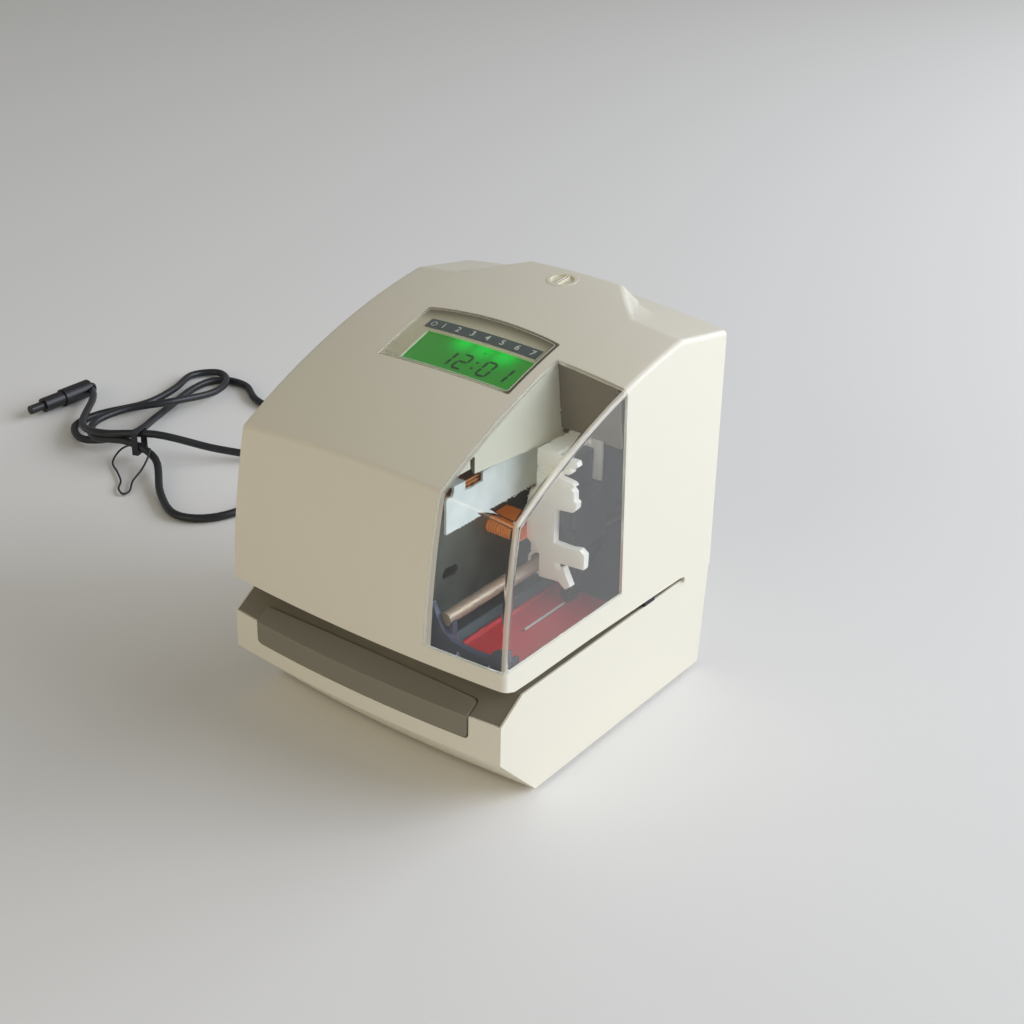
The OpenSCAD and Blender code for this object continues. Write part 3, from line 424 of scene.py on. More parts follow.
# nitrile rubber: matt black, slightly dusty
footRubber = newMaterial("footRubberMoulded", "#242424", 0.75, IOR=1.52)
# nitrile rubber, ground flat: dark grey platen with a dry bloom
platenRubber = newMaterial("platenRubberGround", "#2B2C2E", 0.65, IOR=1.52)
# acetal, moulded: milky white with a waxy sheen, and a faint painted glow, an emission that stands in for
# the light it carries
whiteAcetal = newMaterial("whiteAcetalMoulded", "#FBF7EA", 0.38, IOR=1.48,
                          **{"Subsurface Weight": 0.5, "Subsurface Scale": 0.006,
                             "Subsurface Radius": (1, 1, 1),
                             "Emission Color": linear("#FFF6E4"), "Emission Strength": 0.09})
# natural nylon: cream gears
naturalNylon = newMaterial("naturalNylonMoulded", "#DDD6C2", 0.4, IOR=1.53)
# mild steel, black passivated: blue-grey with dull reflections
blackSteel = newMaterial("blackSteelPassivated", "#3C414A", 0.38, Metallic=0.35)
# the front bracket is the same steel, bluer and a little smoother
bracketSteel = newMaterial("bracketSteelPassivated", "#44485C", 0.3, Metallic=0.25)
# the side plate is greener, with lighter patches at random, painted in for cloudy reflections
sidePlateSteel = newMaterial("sidePlateSteelPassivated", "#5A605A", 0.34, Metallic=0.4)
mottle(sidePlateSteel, "#555B55", "#7C8279", 34)
# mild steel, zinc plated: pale, slightly blue-green bloom that blurs reflections
zincSteel = newMaterial("zincSteelPlated", "#ECF2EE", 0.4, Metallic=0.1)
mottle(zincSteel, "#E6EDE8", "#F4F8F5", 9)
# steel, ground and oiled: warm rod with a soft shine along it
groundSteel = newMaterial("groundSteelRod", "#A4907C", 0.4, Metallic=0.4)
# steel screws and pins, nickel plated: small bright glints
screwSteel = newMaterial("screwSteelPlated", "#C6C6C2", 0.3, Metallic=1.0)
# bronze, sintered: dull brown-gold with visible pores
sinterBronze = newMaterial("bushBronzeSintered", "#A07A48", 0.5, Metallic=0.9)
grain(sinterBronze, 0.3, 0.02)
# polyester sheet, dyed: dense red with a soft gloss
redSheet = newMaterial("redPolyesterSheet", "#CE2B34", 0.3, IOR=1.57,
                       **{"Transmission Weight": 0.15})
# polyurethane belt: amber brown with moulded teeth
beltUrethane = newMaterial("beltUrethaneMoulded", "#8A5224", 0.4, IOR=1.5)
# glass-epoxy board under green lacquer: even green with a gloss
greenBoard = newMaterial("boardEpoxyLacquered", "#2C6238", 0.3, IOR=1.5)
# polyimide film over copper: glossy orange, darker along the tracks, with a painted glow: an
# emission that stands in for light coming through
orangeFilm = newMaterial("filmPolyimideLaminated", "#E08A30", 0.25, IOR=1.6,
                         **{"Emission Color": linear("#E8741C"), "Emission Strength": 0.22})
tracks(orangeFilm, 1.27, "#FBA040", "#D07428")
# the same film in the shade: brown, with dark stripes
trackFilm = newMaterial("filmPolyimideTracks", "#B06424", 0.25, IOR=1.6)
tracks(trackFilm, 1.6, "#C2742E", "#6E3A16", "Z")
# display glass, lit from above by green diodes: bright spots in a deeper green
litGreen = newMaterial("displayGlassLit", "#063A12", 0.35, IOR=1.5, **{"Emission Strength": 1.0})
# liquid crystal, switched on: dark green that hides the light behind it
darkSegment = newMaterial("displaySegmentDark", "#14421F", 0.35, IOR=1.5)
# polycarbonate strip, printed: slate, with chalky pale ink on it
slateInk = newMaterial("stripPolycarbonatePrinted", "#475456", 0.35, IOR=1.55)
# the same pale colour also paints a highlight on the mask's slot edge
paleInkAndHighlight = newMaterial("inkWhitePrintedAndHighlight", "#D8DCD6", 0.5, IOR=1.5)
# painted light: a dull slate sheet that lightens the frame's floor where it lies in the rod's shadow
floorLightSlate = newMaterial("floorSlatePaintedLight", "#6E7B82", 0.6, IOR=1.53)
# zinc die casting, ivory enamel: a glossier cream than the cover
ivoryEnamel = newMaterial("lockZincEnamelled", "#EDE7D0", 0.25, IOR=1.52)
# steel can, nickel plated: cool grey with clear reflections
motorCan = newMaterial("motorSteelPlated", "#8B9093", 0.35, Metallic=0.9)
print("materials made")


# upper cover: loft of a side profile, bowed at the front and crowned on top
cover = {"halfWidth": 76.2, "widestAt": 61.5, "draft": 5.6 / 2 / 105, "frontAxis": 876.7,
         "frontBase": 497, "frontArc": 383, "frontMid": 51.3, "slopeArc": 315, "slopeY": 167.3,
         "slopeZ": -133.4, "crownAxis": -308, "ridge": 125, "roofFall": 6.2 / 37,
         "backAt": 159.5, "backFoot": 53.4, "backLean": 3.5, "backRise": 103, "low": 48,
         "sideRound": 2.6, "creaseRound": 1.9, "ridgeRound": 1.2, "backRound": 2.2,
         "roundSegments": 5, "edgeRound": 0.3, "wall": 2.5, "pane": 2.0}
# how many rounds each search below takes to settle
rounds = {"flank": 8, "top": 6, "crease": 12, "edge": 6}


def slopeHeight(y):
    return cover["slopeZ"] + math.sqrt(cover["slopeArc"] ** 2 - (y - cover["slopeY"]) ** 2)


def slopeTilt(y):
    return math.asin((cover["slopeY"] - y) / cover["slopeArc"])


def roofHeight(y):
    return slopeHeight(cover["ridge"]) - (y - cover["ridge"]) * cover["roofFall"]


def crowned(height, x):
    return cover["crownAxis"] + math.sqrt((height - cover["crownAxis"]) ** 2 - x * x)


def halfAt(z):
    return cover["halfWidth"] - cover["draft"] * (z - cover["widestAt"])


def backY(z):
    return cover["backAt"] + (z - cover["backFoot"]) * cover["backLean"] / cover["backRise"]


def stations(low, high, count):
    return [low + (high - low) * i / count for i in range(count + 1)]


# the tent that carries the lock: its top goes on up the slope between two flanks, each of them
# a plane through a corner at the ridge, one at the peak and one on the roof
tent = {"peak": 149.8, "foot": 153.1, "edgeRound": 1.5, "leastFlank": 1.2, "ridgeX": 47,
        "ridgeDrop": 2.3, "peakX": 25, "peakDrop": 0.7, "onRoof": (33, 154, 172), "firstGuess": 40}
atRidge = Vector((tent["ridgeX"], cover["ridge"], slopeHeight(cover["ridge"]) - tent["ridgeDrop"]))
atPeak = Vector((tent["peakX"], tent["peak"], slopeHeight(tent["peak"]) - tent["peakDrop"]))
flankNormal = (Vector(tent["onRoof"]) - atRidge).cross(atPeak - atRidge).normalized()


def flankX(y, z):
    n = flankNormal
    return atRidge.x - (n.y * (y - atRidge.y) + n.z * (z - atRidge.z)) / n.x


def flankMeets(height, y):  # half width where the flank meets a crowned height
    x = tent["firstGuess"]
    for _ in range(rounds["flank"]):
        x = flankX(y, crowned(height, x))
    return x


def tentEdge(y):  # half width of the tent's top
    y = min(max(y, cover["ridge"]), tent["peak"])
    return flankMeets(slopeHeight(y), y)


def tentFoot(y):  # where the flank meets the roof
    y = min(max(y, cover["ridge"]), tent["foot"])
    return max(flankMeets(roofHeight(y), y), tentEdge(y) + tent["leastFlank"])


def columnX(column, y, half):  # column is (inner or not, share of that stretch)
    inner, share = column
    if inner:
        return tentEdge(y) * share
    return tentFoot(y) + (half - tentFoot(y)) * share


def topHeight(column, y):
    onSlope = y <= cover["ridge"] + 0.01 or (column[0] and y <= tent["peak"] + 0.01)
    return slopeHeight(y) if onSlope else roofHeight(y)


def topPoint(column, side, y):
    x, z = 0, topHeight(column, y)
    for _ in range(rounds["top"]):
        x = columnX(column, y, halfAt(z))
        z = crowned(topHeight(column, y), x)
    return (side * x, y, z)


def frontPoint(column, side, z):
    x = columnX(column, 0, halfAt(z))
    rise = math.sqrt(cover["frontArc"] ** 2 - (z - cover["frontMid"]) ** 2)
    radius = cover["frontBase"] + rise
    return (side * x, cover["frontAxis"] - math.sqrt(radius * radius - x * x), z)


def backPoint(column, side, z):
    return (side * columnX(column, rearmost, halfAt(z)), backY(z), z)


# the loft's rows run from the front's lower edge over the top to the back's lower edge, and its
# columns from side to side
rows = {"crease": 9, "ridge": 25, "peak": 29, "back": 32, "underBack": 8,
        "creaseGuess": 132, "edgeGuess": 172}
roofStations = (131, 137, 143, tent["peak"], tent["foot"], 158)
tentColumns, sideColumns = 4, 3


def coverColumn(column, side):
    z = rows["creaseGuess"]
    for _ in range(rounds["crease"]):
        crease = frontPoint(column, side, z)
        z = topPoint(column, side, crease[1])[2]
    frontLevels = stations(cover["low"], crease[2], rows["crease"])[:-1]
    slopeLevels = stations(crease[1], cover["ridge"], rows["ridge"] - rows["crease"])[1:]
    points = [frontPoint(column, side, level) for level in frontLevels] + [crease]
    points += [topPoint(column, side, y) for y in slopeLevels]
    points += [topPoint(column, side, y) for y in roofStations]
    edge = backPoint(column, side, rows["edgeGuess"])
    for _ in range(rounds["edge"]):
        edge = backPoint(column, side, topPoint(column, side, edge[1])[2])
    backLevels = stations(edge[2], cover["low"], rows["underBack"])[1:]
    return points + [edge] + [backPoint(column, side, level) for level in backLevels]


def coverHull(thickness):
    half = [(True, t / tentColumns) for t in range(1, tentColumns + 1)]
    half += [(False, t / sideColumns) for t in range(sideColumns + 1)]
    columns = [(c, -1) for c in reversed(half)] + [((True, 0), 1)] + [(c, 1) for c in half]
    grid = [coverColumn(column, side) for column, side in columns]
    count, last = len(grid[0]), len(columns) - 1
    points = [p for line in grid for p in line]
    faces = [(i * count + j, (i + 1) * count + j, (i + 1) * count + j + 1, i * count + j + 1)
             for i in range(last) for j in range(count - 1)]
    faces += [tuple(range(count)), tuple(last * count + j for j in range(count))[::-1]]
    mesh = meshFrom("coverHull", points, faces)
    attribute = mesh.attributes.new("bevel_weight_edge", "FLOAT", "EDGE")

    def edgeRound(i, j, k, m):  # column and row of both ends
        if j == m:
            onTent = columns[i][0][0] and columns[k][0][0]
            return {rows["crease"]: cover["creaseRound"],
                    rows["ridge"]: 0 if onTent else cover["ridgeRound"],
                    rows["peak"]: tent["edgeRound"] if onTent else 0,
                    rows["back"]: cover["backRound"]}.get(j, 0)
        if i == k and i in (0, last):
            return cover["sideRound"]
        alongTent = min(j, m) >= rows["ridge"] and max(j, m) <= rows["peak"]
        return tent["edgeRound"] if i == k and columns[i][0] == (True, 1.0) and alongTent else 0
    for edge in mesh.edges:
        (i, j), (k, m) = (divmod(v, count) for v in edge.vertices)
        attribute.data[edge.index].value = edgeRound(i, j, k, m) / cover["sideRound"]
    return applied(facingUp(mesh), [
        ("BEVEL", {"width": cover["sideRound"] * mm, "segments": cover["roundSegments"],
                   "limit_method": "WEIGHT", "use_clamp_overlap": False}),
        ("SOLIDIFY", {"thickness": thickness * mm, "offset": -1, "use_even_offset": True})])


def facingUp(mesh):  # an open hull whose highest face points up
    facingOut(mesh)
    top = max(mesh.polygons, key=lambda p: p.center.z)
    if top.normal.z < 0:
        mesh.flip_normals()
    return mesh


hullShell = coverHull(cover["wall"])
print("cover hull lofted")


# cuts in the cover, and the pieces that fill them
cuts = {"lowerEdge": [(-20, 61.5), (0.2, 61.5), (7, 58.9), (20, 58.5), (59, 58.4), (132, 56.4),
                      (135.8, 55.6), (135.8, 52.6), (200, 52.6), (200, 0), (-20, 0)],
        "lowerReach": (-95, 95), "windowLow": (35.8, -20, 69.6), "windowHigh": (100, 83.5, 200),
        "windowLean": 0.0165, "windowGap": 0.12, "lensAt": (-2.75, 74), "lensWidth": 71.5,
        "lensHeight": 37.6, "lensArc": 214.5, "lensRise": 3, "lensDepth": 1.5, "lensClear": 4,
        "slabX": (-44, 44, 22), "slabY": (46, 100, 18), "slabReach": (-8, 8),
        "displayAt": (1.5, 68), "displayWidth": 58, "displayHeight": 21, "displayReach": (-9, 9),
        "stripAt": (-1, 82.3), "stripWidth": 60, "stripHeight": 6, "stripLevels": (-1.5, -1.2),
        "lockAt": (0.6, 138.3), "lockWidth": 14.4, "lockReach": (-12, 9)}


def slopeFrame(at):  # from a point on the slope's middle line: across, up the slope, outwards
    tilt = slopeTilt(at[1])
    origin = Vector((at[0], at[1], slopeHeight(at[1])))
    across = Vector((1, 0, 0))
    upSlope = Vector((0, math.cos(tilt), math.sin(tilt)))
    outwards = Vector((0, -math.sin(tilt), math.cos(tilt)))

    def toPoint(flat, height):
        return origin + flat[0] * across + flat[1] * upSlope + height * outwards
    return toPoint


def rectangle(width, height):
    w, h = width / 2, height / 2
    return [(-w, -h), (w, -h), (w, h), (-w, h)]


def circle(width, count=96):
    turns = [2 * math.pi * i / count for i in range(count)]
    return [(width / 2 * math.cos(a), width / 2 * math.sin(a)) for a in turns]


def lensOutline(inset, corner=1.0):  # straight foot and sides, arched top, small corners
    w, h, r = cuts["lensWidth"] / 2 - inset, cuts["lensHeight"] / 2, cuts["lensArc"] - inset
    axis = h + cuts["lensRise"] - cuts["lensArc"]

    def corners(x, y, turn):
        angles = [math.radians(turn + step) for step in (0, 30, 60, 90)]
        return [(x + corner * math.cos(a), y + corner * math.sin(a)) for a in angles]
    side, foot = axis + math.sqrt(r * r - w * w) - corner, -h + inset + corner
    points = corners(-w + corner, foot, 180) + corners(w - corner, foot, 270)
    points += corners(w - corner, side, 0)[:3]
    top = [(w - corner) * (1 - 2 * t) for t in stations(0.02, 0.98, 24)]
    points += [(x, axis + math.sqrt(r * r - x * x)) for x in top]
    return points + corners(-w + corner, side, 90)[1:]


def surfacePoint(x, y, height):  # height is square to the crowned slope
    def top(a, b):
        return crowned(slopeHeight(b), a)
    normal = Vector((-(top(x + 0.1, y) - top(x - 0.1, y)) / 0.2,
                     -(top(x, y + 0.1) - top(x, y - 0.1)) / 0.2, 1))
    return Vector((x, y, top(x, y))) + height * normal.normalized()


def surfaceSlab(xs, ys, low, high):  # solid between two levels that follow the slope
    count = len(ys)
    points = [surfacePoint(x, y, level) for level in (low, high) for x in xs for y in ys]
    half = len(xs) * count
    quads = [(i * count + j, (i + 1) * count + j, (i + 1) * count + j + 1, i * count + j + 1)
             for i in range(len(xs) - 1) for j in range(count - 1)]
    rim = [i * count for i in range(len(xs))]
    rim += [(len(xs) - 1) * count + j for j in range(1, count)]
    rim += [i * count + count - 1 for i in range(len(xs) - 2, -1, -1)]
    rim += list(range(count - 2, 0, -1))
    faces = [q[::-1] for q in quads] + [tuple(v + half for v in q) for q in quads]
    faces += [(a, b, b + half, a + half) for a, b in zip(rim, rim[1:] + rim[:1])]
    return facingOut(meshFrom("slab", points, faces))


def onSlope(outline, at, low, high):  # outline cut out of a slab that follows the slope
    slab = surfaceSlab(stations(*cuts["slabX"]), stations(*cuts["slabY"]), low, high)
    return carve(slab, ("INTERSECT", prismMesh(outline, slopeFrame(at), *cuts["slabReach"])))


def windowEdge(z):  # the window's left edge leans in a little towards the top
    return cuts["windowLow"][0] + (z - cuts["windowLow"][2]) * cuts["windowLean"]


def windowPrism(inset):
    low, high = cuts["windowLow"], cuts["windowHigh"]
    outline = [(windowEdge(low[2]) + inset, low[2] + inset), (high[0], low[2] + inset),
               (high[0], high[2]), (windowEdge(high[2]) + inset, high[2])]
    return prismMesh(outline, lambda p, y: (p[0], y, p[1]), low[1], high[1] - inset)


displayOpening = rectangle(cuts["displayWidth"], cuts["displayHeight"])
openings = [
    # all below the lower edge, which steps down towards the back
    prismMesh(cuts["lowerEdge"], lambda p, x: (x, p[0], p[1]), *cuts["lowerReach"]),
    # window, lens recess, display and lock
    windowPrism(0),
    onSlope(lensOutline(0), cuts["lensAt"], -cuts["lensDepth"], cuts["lensClear"]),
    prismMesh(displayOpening, slopeFrame(cuts["displayAt"]), *cuts["displayReach"]),
    prismMesh(circle(cuts["lockWidth"]), slopeFrame(cuts["lockAt"]), *cuts["lockReach"])]
coverMesh = carve(hullShell, *(("DIFFERENCE", opening) for opening in openings))
coverMesh = rounded(coverMesh, cover["edgeRound"], segments=2, degrees=40, clean=False)
coverMesh = smoothMesh(coverMesh, degrees=40)
coverPiece = addObject("upperCoverShell", coverMesh, ivoryAbs, "cover")
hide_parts("upper_cover")
print("cover cut")

# window: one sheet bent round the corner, with bands beside its edges that get a painted highlight
pane = {"slopeBands": (38.2, 38.5, 38.9), "frontBands": (37.9, 38.3, 39.6), "lowBand": 70.5,
        "edgeRound": 0.25, "nearEdge": 0.35, "broadFace": 12, "sideFacing": 0.93,
        "frontFacing": -0.8, "edgeFacing": 0.4, "bendFacing": 0.3}
gap = cuts["windowGap"]


def scored(mesh, lines):  # extra edges across a mesh, each at (axis, place)
    shape = bmesh.new()
    shape.from_mesh(mesh)
    for axis, level in lines:
        point = [0, 0, 0]
        point[axis] = level
        bmesh.ops.bisect_plane(shape, geom=shape.verts[:] + shape.edges[:] + shape.faces[:],
                               plane_co=place(point),
                               plane_no=[float(i == axis) for i in range(3)])
    shape.to_mesh(mesh)
    shape.free()
    return mesh


bandLines = [(0, x) for x in pane["slopeBands"] + pane["frontBands"]] + [(2, pane["lowBand"])]
paneMesh = carve(coverHull(cover["pane"]), ("INTERSECT", windowPrism(gap)))
paneMesh = scored(paneMesh, bandLines)
paneMesh = rounded(paneMesh, pane["edgeRound"], segments=2, degrees=50, clean=False)
for face in paneMesh.polygons:  # broad faces stay flat, so that the view through isn't bent
    face.use_smooth = face.area < pane["broadFace"] * mm * mm
windowPiece = addObject("cornerWindow", paneMesh, clearAcrylic, "cover")
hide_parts("window")


def brightRim(piece, onRim, onBend=None):  # painted highlight: cut edges and bands get the bright rim material, bends the painted sheen
    for material in (rimHighlightAcrylic, bendSheenAcrylic, sideAcrylic):
        piece.data.materials.append(material)
    for face in piece.data.polygons:
        at = placeOf(face)
        if onRim(at, face.normal):
            face.material_index = 1
        elif onBend and onBend(at, face.normal):
            face.material_index = 2
        elif onBend and face.normal.x > pane["sideFacing"]:
            face.material_index = 3


def paneRim(at, normal):
    cutEdges = [(at.x - windowEdge(at.z) - gap, normal.x),
                (at.z - cuts["windowLow"][2] - gap, normal.z),
                (at.y - (cuts["windowHigh"][1] - gap), normal.y)]
    onEdge = any(abs(off) < pane["nearEdge"] and abs(facing) > pane["edgeFacing"]
                 for off, facing in cutEdges)
    bands = pane["frontBands" if normal.y < pane["frontFacing"] else "slopeBands"]
    onBand = at.x < bands[0] or bands[1] < at.x < bands[2]
    return onEdge or onBand or (normal.x > pane["sideFacing"] and at.z < pane["lowBand"])


# faces of the bend, which get the painted sheen
def paneBend(at, normal):
    least = pane["bendFacing"]
    return least < normal.x < pane["sideFacing"] and (normal.z > least or normal.y < -least)


brightRim(windowPiece, paneRim, paneBend)

# lens over the display, with a fine step moulded along its edge
lens = {"gap": 0.1, "thickness": 1.12, "edgeRound": 0.45, "rimFacing": 0.72, "stepOuter": 1.5,
        "stepInner": 1.8, "stepLevels": (-0.3, 0.03), "stepReach": (-9, 9)}
lensMesh = onSlope(lensOutline(lens["gap"]), cuts["lensAt"], -lens["thickness"], 0)
lensMesh = rounded(lensMesh, lens["edgeRound"], segments=3, degrees=50, clean=False)
lensMesh = smoothMesh(lensMesh, degrees=40)
lensPiece = addObject("displayLens", lensMesh, lensAcrylic, "cover")
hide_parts("display_lens")
brightRim(lensPiece, lambda at, normal: abs(normal.z) < lens["rimFacing"])
stepMesh = onSlope(lensOutline(lens["stepOuter"]), cuts["lensAt"], *lens["stepLevels"])
stepHole = prismMesh(lensOutline(lens["stepInner"]), slopeFrame(cuts["lensAt"]),
                     *lens["stepReach"])
stepMesh = carve(stepMesh, ("DIFFERENCE", stepHole))
# the step gets the painted highlight of the rim material
addObject("lensStep", stepMesh, rimHighlightAcrylic, "cover")

# painted shade: the cover's plastic under the lens is painted darker, and darker still along the top and the
# right where the lens's edge shades it
recess = {"light": "#D6CFB6", "dark": "#82785F", "topReach": 11, "sideReach": 4,
          "sideCentre": 400, "sideInset": 1, "yRange": (54, 96), "depthRange": (1.1, 2.2),
          "floorFacing": 0.8}
recessShadeAbs = newMaterial("ivoryAbsUnderLensPaintedShade", recess["light"], 0.45, IOR=1.52)


def shadeRecess(material):  # painted shade: darker within two wide arcs, along the arched top and the right side
    tree, shader = nodesOf(material)
    onLens = slopeFrame(cuts["lensAt"])
    axis = cuts["lensHeight"] / 2 + cuts["lensRise"] - cuts["lensArc"]
    sideArc = recess["sideCentre"] + cuts["lensWidth"] / 2 - recess["sideInset"]
    arcs = [((0, axis), cuts["lensArc"], recess["topReach"]),
            ((-recess["sideCentre"], 0), sideArc, recess["sideReach"])]
    levels = [distanceLevel(tree, place(onLens(centre, 0)), far - reach, far, 0, 1)
              for centre, far, reach in arcs]
    colour = addRamp(tree, highest(tree, levels), [(0, recess["light"]), (1, recess["dark"])])
    tree.links.new(colour, shader.inputs["Base Color"])


def underLens(at, normal):  # the floor of the lens's recess
    (yLow, yHigh), (shallow, deep) = recess["yRange"], recess["depthRange"]
    depth = crowned(slopeHeight(at.y), at.x) - at.z if yLow < at.y < yHigh else 0
    inWidth = abs(at.x - cuts["lensAt"][0]) < cuts["lensWidth"] / 2
    return inWidth and shallow < depth < deep and normal.z > recess["floorFacing"]


shadeRecess(recessShadeAbs)
coverPiece.data.materials.append(recessShadeAbs)
for face in coverPiece.data.polygons:
    if underLens(placeOf(face), face.normal):
        face.material_index = 1

stripOutline = rectangle(cuts["stripWidth"], cuts["stripHeight"])
stripMesh = onSlope(stripOutline, cuts["stripAt"], *cuts["stripLevels"])
stripPiece = addObject("weekdayStrip", stripMesh, slateInk, "cover")
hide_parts("weekday_strip")
print("window, lens and strip made")


# numerals on the strip, printed a little above it, and a small ring before them
numerals = {"size": 4.784, "first": -21.2, "step": 8.0, "bold": 0.06, "proud": 0.012,
            "level": -1.17, "ringX": -26.6, "ringOuter": 1.5, "ringInner": 1.1}


def draped(mesh, at, level):  # flat mesh in mm laid on the slope, at a height square to it
    toPoint = slopeFrame(at)
    for vertex in mesh.vertices:
        flat = toPoint((vertex.co.x, vertex.co.y), 0)
        vertex.co = place(surfacePoint(flat.x, flat.y, level + vertex.co.z))
    return mesh


def numeralMesh(text, x):
    data = bpy.data.curves.new("numeral", "FONT")
    data.body = text
    data.size = numerals["size"]
    data.align_x = "CENTER"
    data.align_y = "CENTER"
    data.offset = numerals["bold"]
    data.extrude = numerals["proud"]
    carrier = bpy.data.objects.new("numeral", data)
    scene.collection.objects.link(carrier)
    mesh = evaluated(carrier)
    for vertex in mesh.vertices:
        vertex.co.x += x
    return mesh


def joined(meshes):
    shape = bmesh.new()
    for mesh in meshes:
        shape.from_mesh(mesh)
    result = bpy.data.meshes.new("joined")
    shape.to_mesh(result)
    shape.free()
    return result


def flatRing(outer, inner, x, count=32):
    turns = [2 * math.pi * i / count for i in range(count)]
    points = [(x + r * math.cos(a), r * math.sin(a), z)
              for z in (-numerals["proud"], numerals["proud"]) for r in (outer, inner)
              for a in turns]

    def band(a, b):
        ends = [(i, (i + 1) % count) for i in range(count)]
        return [(a * count + i, a * count + j, b * count + j, b * count + i) for i, j in ends]
    mesh = bpy.data.meshes.new("ring")
    mesh.from_pydata(points, [], band(0, 1) + band(1, 3) + band(3, 2) + band(2, 0))
    return facingOut(mesh)


marks = [numeralMesh(str(i + 1), numerals["first"] + i * numerals["step"]) for i in range(7)]
marks.append(flatRing(numerals["ringOuter"], numerals["ringInner"], numerals["ringX"]))
marksMesh = draped(joined(marks), cuts["stripAt"], numerals["level"])
addObject("weekdayNumerals", marksMesh, paleInkAndHighlight, "cover")


# display: glass lit from above, with dark segments that stand on it, in a dark holder
display = {"top": -4.0, "thickness": 2.6, "width": 61, "height": 24, "digitHeight": 9.3,
           "digitWidth": 4.8, "slant": 0.1, "stroke": 1.25, "middle": -0.6,
           "cells": {-10.4: "bc", -2.2: "abged", 10.6: "abcdef", 19.6: "bc"},
           "tip": 0.12, "shoulder": 1.25, "inkLevels": (-0.01, 0.03),
           "colon": 4.2, "colonHeights": (-2, 2), "colonHalf": 0.62,
           "pointer": [(2.8, 7.6), (4.2, 7.6), (3.5, 8.5)],
           "holderWidth": 64, "holderHeight": 28, "holderLow": -9, "holderDrop": 2.61,
           "holderRound": 0.5,
           "diodes": [(-9, 11, 11), (2, 11, 13), (13, 10, 12)],
           "glow": [(0, "#237C1C"), (0.4, "#0E9822"), (1, "#02CC3A")]}
onDisplay = slopeFrame(cuts["displayAt"])


def segmentOutline(letter, x):  # one slim hexagon of a seven-segment digit
    w, h, s = display["digitWidth"] / 2, display["digitHeight"] / 2, display["stroke"] / 2
    ends = {"a": ((-w, h), (w, h)), "b": ((w, h), (w, 0)), "c": ((w, 0), (w, -h)),
            "d": ((-w, -h), (w, -h)), "e": ((-w, 0), (-w, -h)), "f": ((-w, h), (-w, 0)),
            "g": ((-w, 0), (w, 0))}[letter]
    a, b = (Vector(p) for p in ends)
    along = (b - a).normalized()
    across = Vector((-along.y, along.x)) * s
    shoulder, tip = s * display["shoulder"], display["tip"]
    outline = [a + along * tip, a + along * shoulder - across, b - along * shoulder - across,
               b - along * tip, b - along * shoulder + across, a + along * shoulder + across]
    return [(x + p.x + p.y * display["slant"], p.y + display["middle"]) for p in outline]


def colonOutline(height):
    x, y = display["colon"] + height * display["slant"], display["middle"] + height
    half = display["colonHalf"]
    return [(x + a * half, y + b * half) for a, b in ((-1, -1), (1, -1), (1, 1), (-1, 1))]


def diodeGlow(material):  # light spreads from each diode at the glass's upper edge
    tree, shader = nodesOf(material)
    levels = [distanceLevel(tree, place(onDisplay((x, y), display["top"])), 0, reach, 1, 0)
              for x, y, reach in display["diodes"]]
    colour = addRamp(tree, highest(tree, levels), display["glow"])
    tree.links.new(colour, shader.inputs["Emission Color"])


diodeGlow(litGreen)
glassOutline = rectangle(display["width"], display["height"])
glassMesh = prismMesh(glassOutline, onDisplay, display["top"] - display["thickness"],
                      display["top"])
litPiece = addObject("displayGlass", glassMesh, litGreen, "base")
holderOutline = rectangle(display["holderWidth"], display["holderHeight"])
holderMesh = prismMesh(holderOutline, onDisplay, display["holderLow"],
                       display["top"] - display["holderDrop"])
holderMesh = rounded(holderMesh, display["holderRound"])
addObject("displayHolder", holderMesh, blackNylon, "base")
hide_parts("display_module")
outlines = [segmentOutline(letter, x) for x, letters in display["cells"].items()
            for letter in letters]
outlines += [colonOutline(height) for height in display["colonHeights"]] + [display["pointer"]]
inkLow, inkHigh = (display["top"] + level for level in display["inkLevels"])
digits = joined([prismMesh(outline, onDisplay, inkLow, inkHigh) for outline in outlines])
addObject("displayDigits", digits, darkSegment, "base")
print("display made")


# the other solids: node, material, edge rounding in mm, segments where not 2
lockPieces = [
    ("lock_barrel", ivoryEnamel, 0.35), ("lock_plug", ivoryEnamel, 0.25),
    ("lock_cam", zincSteel, 0.2), ("lock_keeper", zincSteel, 0.2)]
basePieces = [
    ("base_shell", ivoryAbs, 0.9, 3), ("base_screws", screwSteel, 0.2),
    ("rubber_feet", footRubber, 0.4), ("table_plate", taupeAbs, 0.35),
    ("push_bar", barAbs, 0.6, 3), ("bar_pivot", screwSteel, 0.2),
    ("bar_switch", blackNylon, 0.3), ("switch_plunger", redSheet, 0.15),
    ("platen", platenRubber, 0.4), ("paper_stop", blackNylon, 0.4),
    ("stop_rail", zincSteel, 0.2), ("power_board", greenBoard, 0.2),
    ("supply_socket", blackNylon, 0.3)]
framePieces = [
    ("head_frame", blackSteel, 0.25), ("side_plate", sidePlateSteel, 0.2),
    ("frame_screws", screwSteel, 0.2), ("rack_plate", zincSteel, 0.12, 1),
    ("guide_rod", groundSteel, 0.3), ("front_bracket", bracketSteel, 0.25),
    ("ribbon_mask", redSheet, 0.15), ("cable_clamp", blackNylon, 0.25)]
drivePieces = [
    ("carriage", whiteAcetal, 0.35, 3), ("rod_bushes", sinterBronze, 0.25),
    ("print_head", blackNylon, 0.3), ("ribbon_gear", naturalNylon, 0.08, 1),
    ("gear_spindle", screwSteel, 0.15), ("drive_motor", motorCan, 0.4),
    ("motor_pulley", naturalNylon, 0.1, 1), ("idler_pulley", naturalNylon, 0.1, 1),
    ("idler_axle", screwSteel, 0.15), ("drive_belt", beltUrethane, 0.15)]
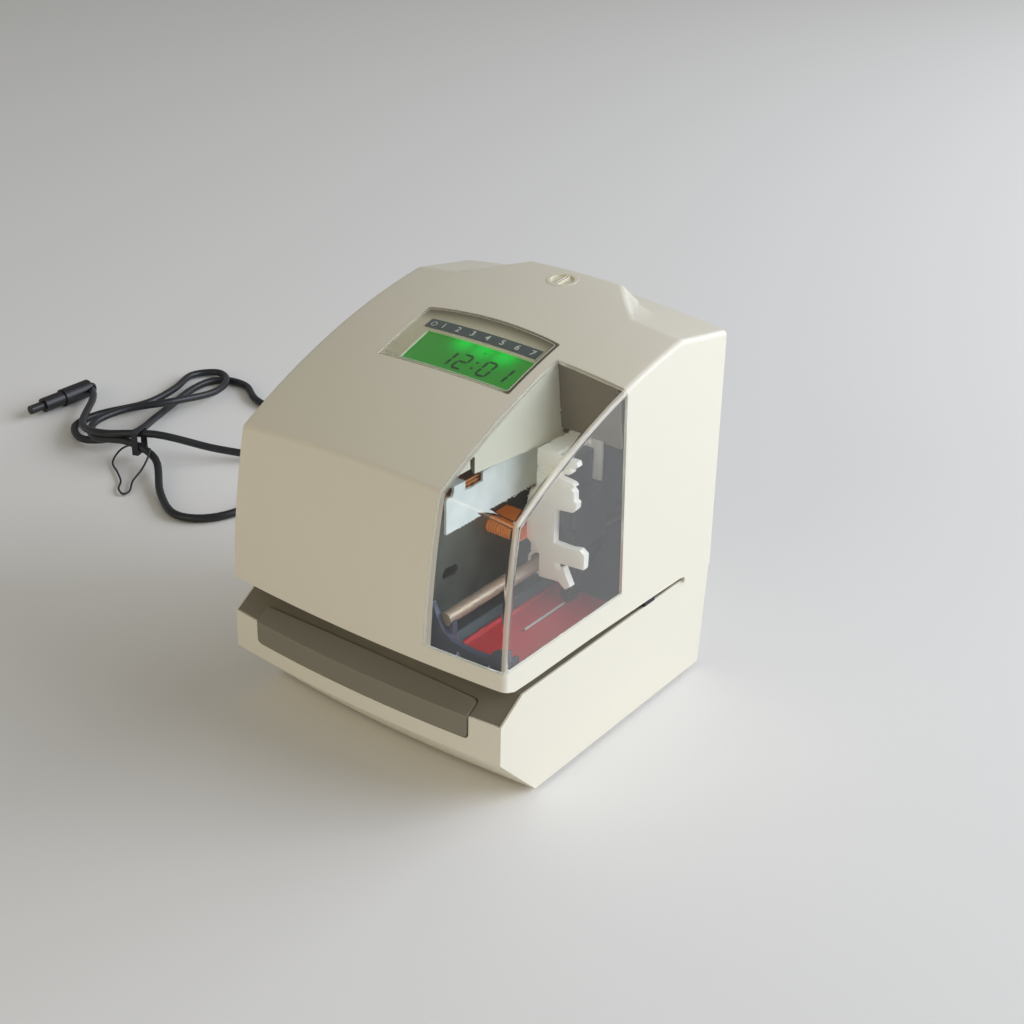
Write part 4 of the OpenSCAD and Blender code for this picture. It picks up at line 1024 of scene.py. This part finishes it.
clockPieces = [
    ("control_board", greenBoard, 0.2), ("board_bracket", zincSteel, 0.2),
    ("select_button", blackNylon, 0.2), ("change_button", blackNylon, 0.2),
    ("set_button", blackNylon, 0.2)]
for row in lockPieces + basePieces + framePieces + drivePieces + clockPieces:
    dressed(*row)
shroud = {"edgeRound": 0.3, "backFacing": -0.5}
shroudPiece = dressed("window_shroud", shroudStyrene, shroud["edgeRound"])
shroudPiece.data.materials.append(shroudShadeStyrene)
for face in shroudPiece.data.polygons:  # painted shade: faces that look forwards, on the back wall, get the darker copy
    face.material_index = int(face.normal.y < shroud["backFacing"])
print("inner pieces dressed")


# thin details seen through the window: name, lower and upper corner, material and slot
thinDetails = [
    # painted light: a grey band under the rod, beside the red mask, lightening the shaded floor
    ("ribbonBand", (31.5, 15.3, 60.85), (39.6, 86, 61.0), floorLightSlate, "black_plastic"),
    # painted highlight: one pale line along the cut edge of the mask's slot
    ("maskSlotHighlight", (51.5, 45, 60.9), (52.1, 74, 61.7), paleInkAndHighlight, "black_plastic"),
    # the flat cable's fixed run, behind the plate's notch
    ("cableTracks", (31.8, 26.5, 121.5), (32.2, 40, 130.6), trackFilm, "cable_film")]
for name, low, high, material, slot in thinDetails:
    addObject(name, boxMesh(low, high), material, "base")

# flat cable folded over between the side plate and the carriage: it rolls as the carriage slides
flex = {"edgeRound": 0.05, "segments": 1}
flexMesh = rounded(nodes["head_cable"].data.copy(), flex["edgeRound"], flex["segments"])
flexMesh = smoothMesh(flexMesh, degrees=40)
flexMesh.materials.clear()
flexMesh.materials.append(orangeFilm)
flexPiece = bpy.data.objects.new("headCable", flexMesh)
scene.collection.objects.link(flexPiece)
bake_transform(flexPiece, "base", "carriage", place((28, 62, 91.4)), place((28, 62, 98)))
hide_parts("head_cable")
print("flat cable folded")


# plain floor, and three soft panels: name, place, size, power and colour
room = {"floorSize": 8, "aim": (0, 0, 0.09), "light": "#E0DFDA", "strength": 0.35}
lamps = [("keyPanel", (1.6, 0.8, 0.95), (1.4, 1.2), 27.5, "#E8EFFF"),
         ("backPanel", (0.9, 1.9, 1.0), (1.6, 1.2), 22, "#F2F5FF"),
         ("fillPanel", (-0.2, -1.9, 0.8), (1.6, 1.0), 7.8, "#FFECCE")]


def addFloor():  # matt paper: near-white, with no reflection
    bpy.ops.mesh.primitive_plane_add(size=1)
    floor = bpy.context.active_object
    floor.name = "studioFloor"
    floor.scale = (room["floorSize"], room["floorSize"], 1)
    floor.data.materials.append(newMaterial("floorPaperMatt", "#EEEDE9", 0.9))


def addLamp(name, at, size, power, colour):
    data = bpy.data.lights.new(name, "AREA")
    data.shape = "RECTANGLE"
    data.size, data.size_y = size
    data.energy = power
    data.color = linear(colour)[:3]
    lamp = bpy.data.objects.new(name, data)
    scene.collection.objects.link(lamp)
    lamp.location = at
    facing = Vector(at) - Vector(room["aim"])
    lamp.rotation_euler = facing.to_track_quat("Z", "Y").to_euler()


addFloor()
for row in lamps:
    addLamp(*row)
world = bpy.data.worlds.new("studioWorld")
scene.world = world
world.use_nodes = True
background = world.node_tree.nodes["Background"]
background.inputs["Color"].default_value = linear(room["light"])
background.inputs["Strength"].default_value = room["strength"]
print("floor and lamps placed")
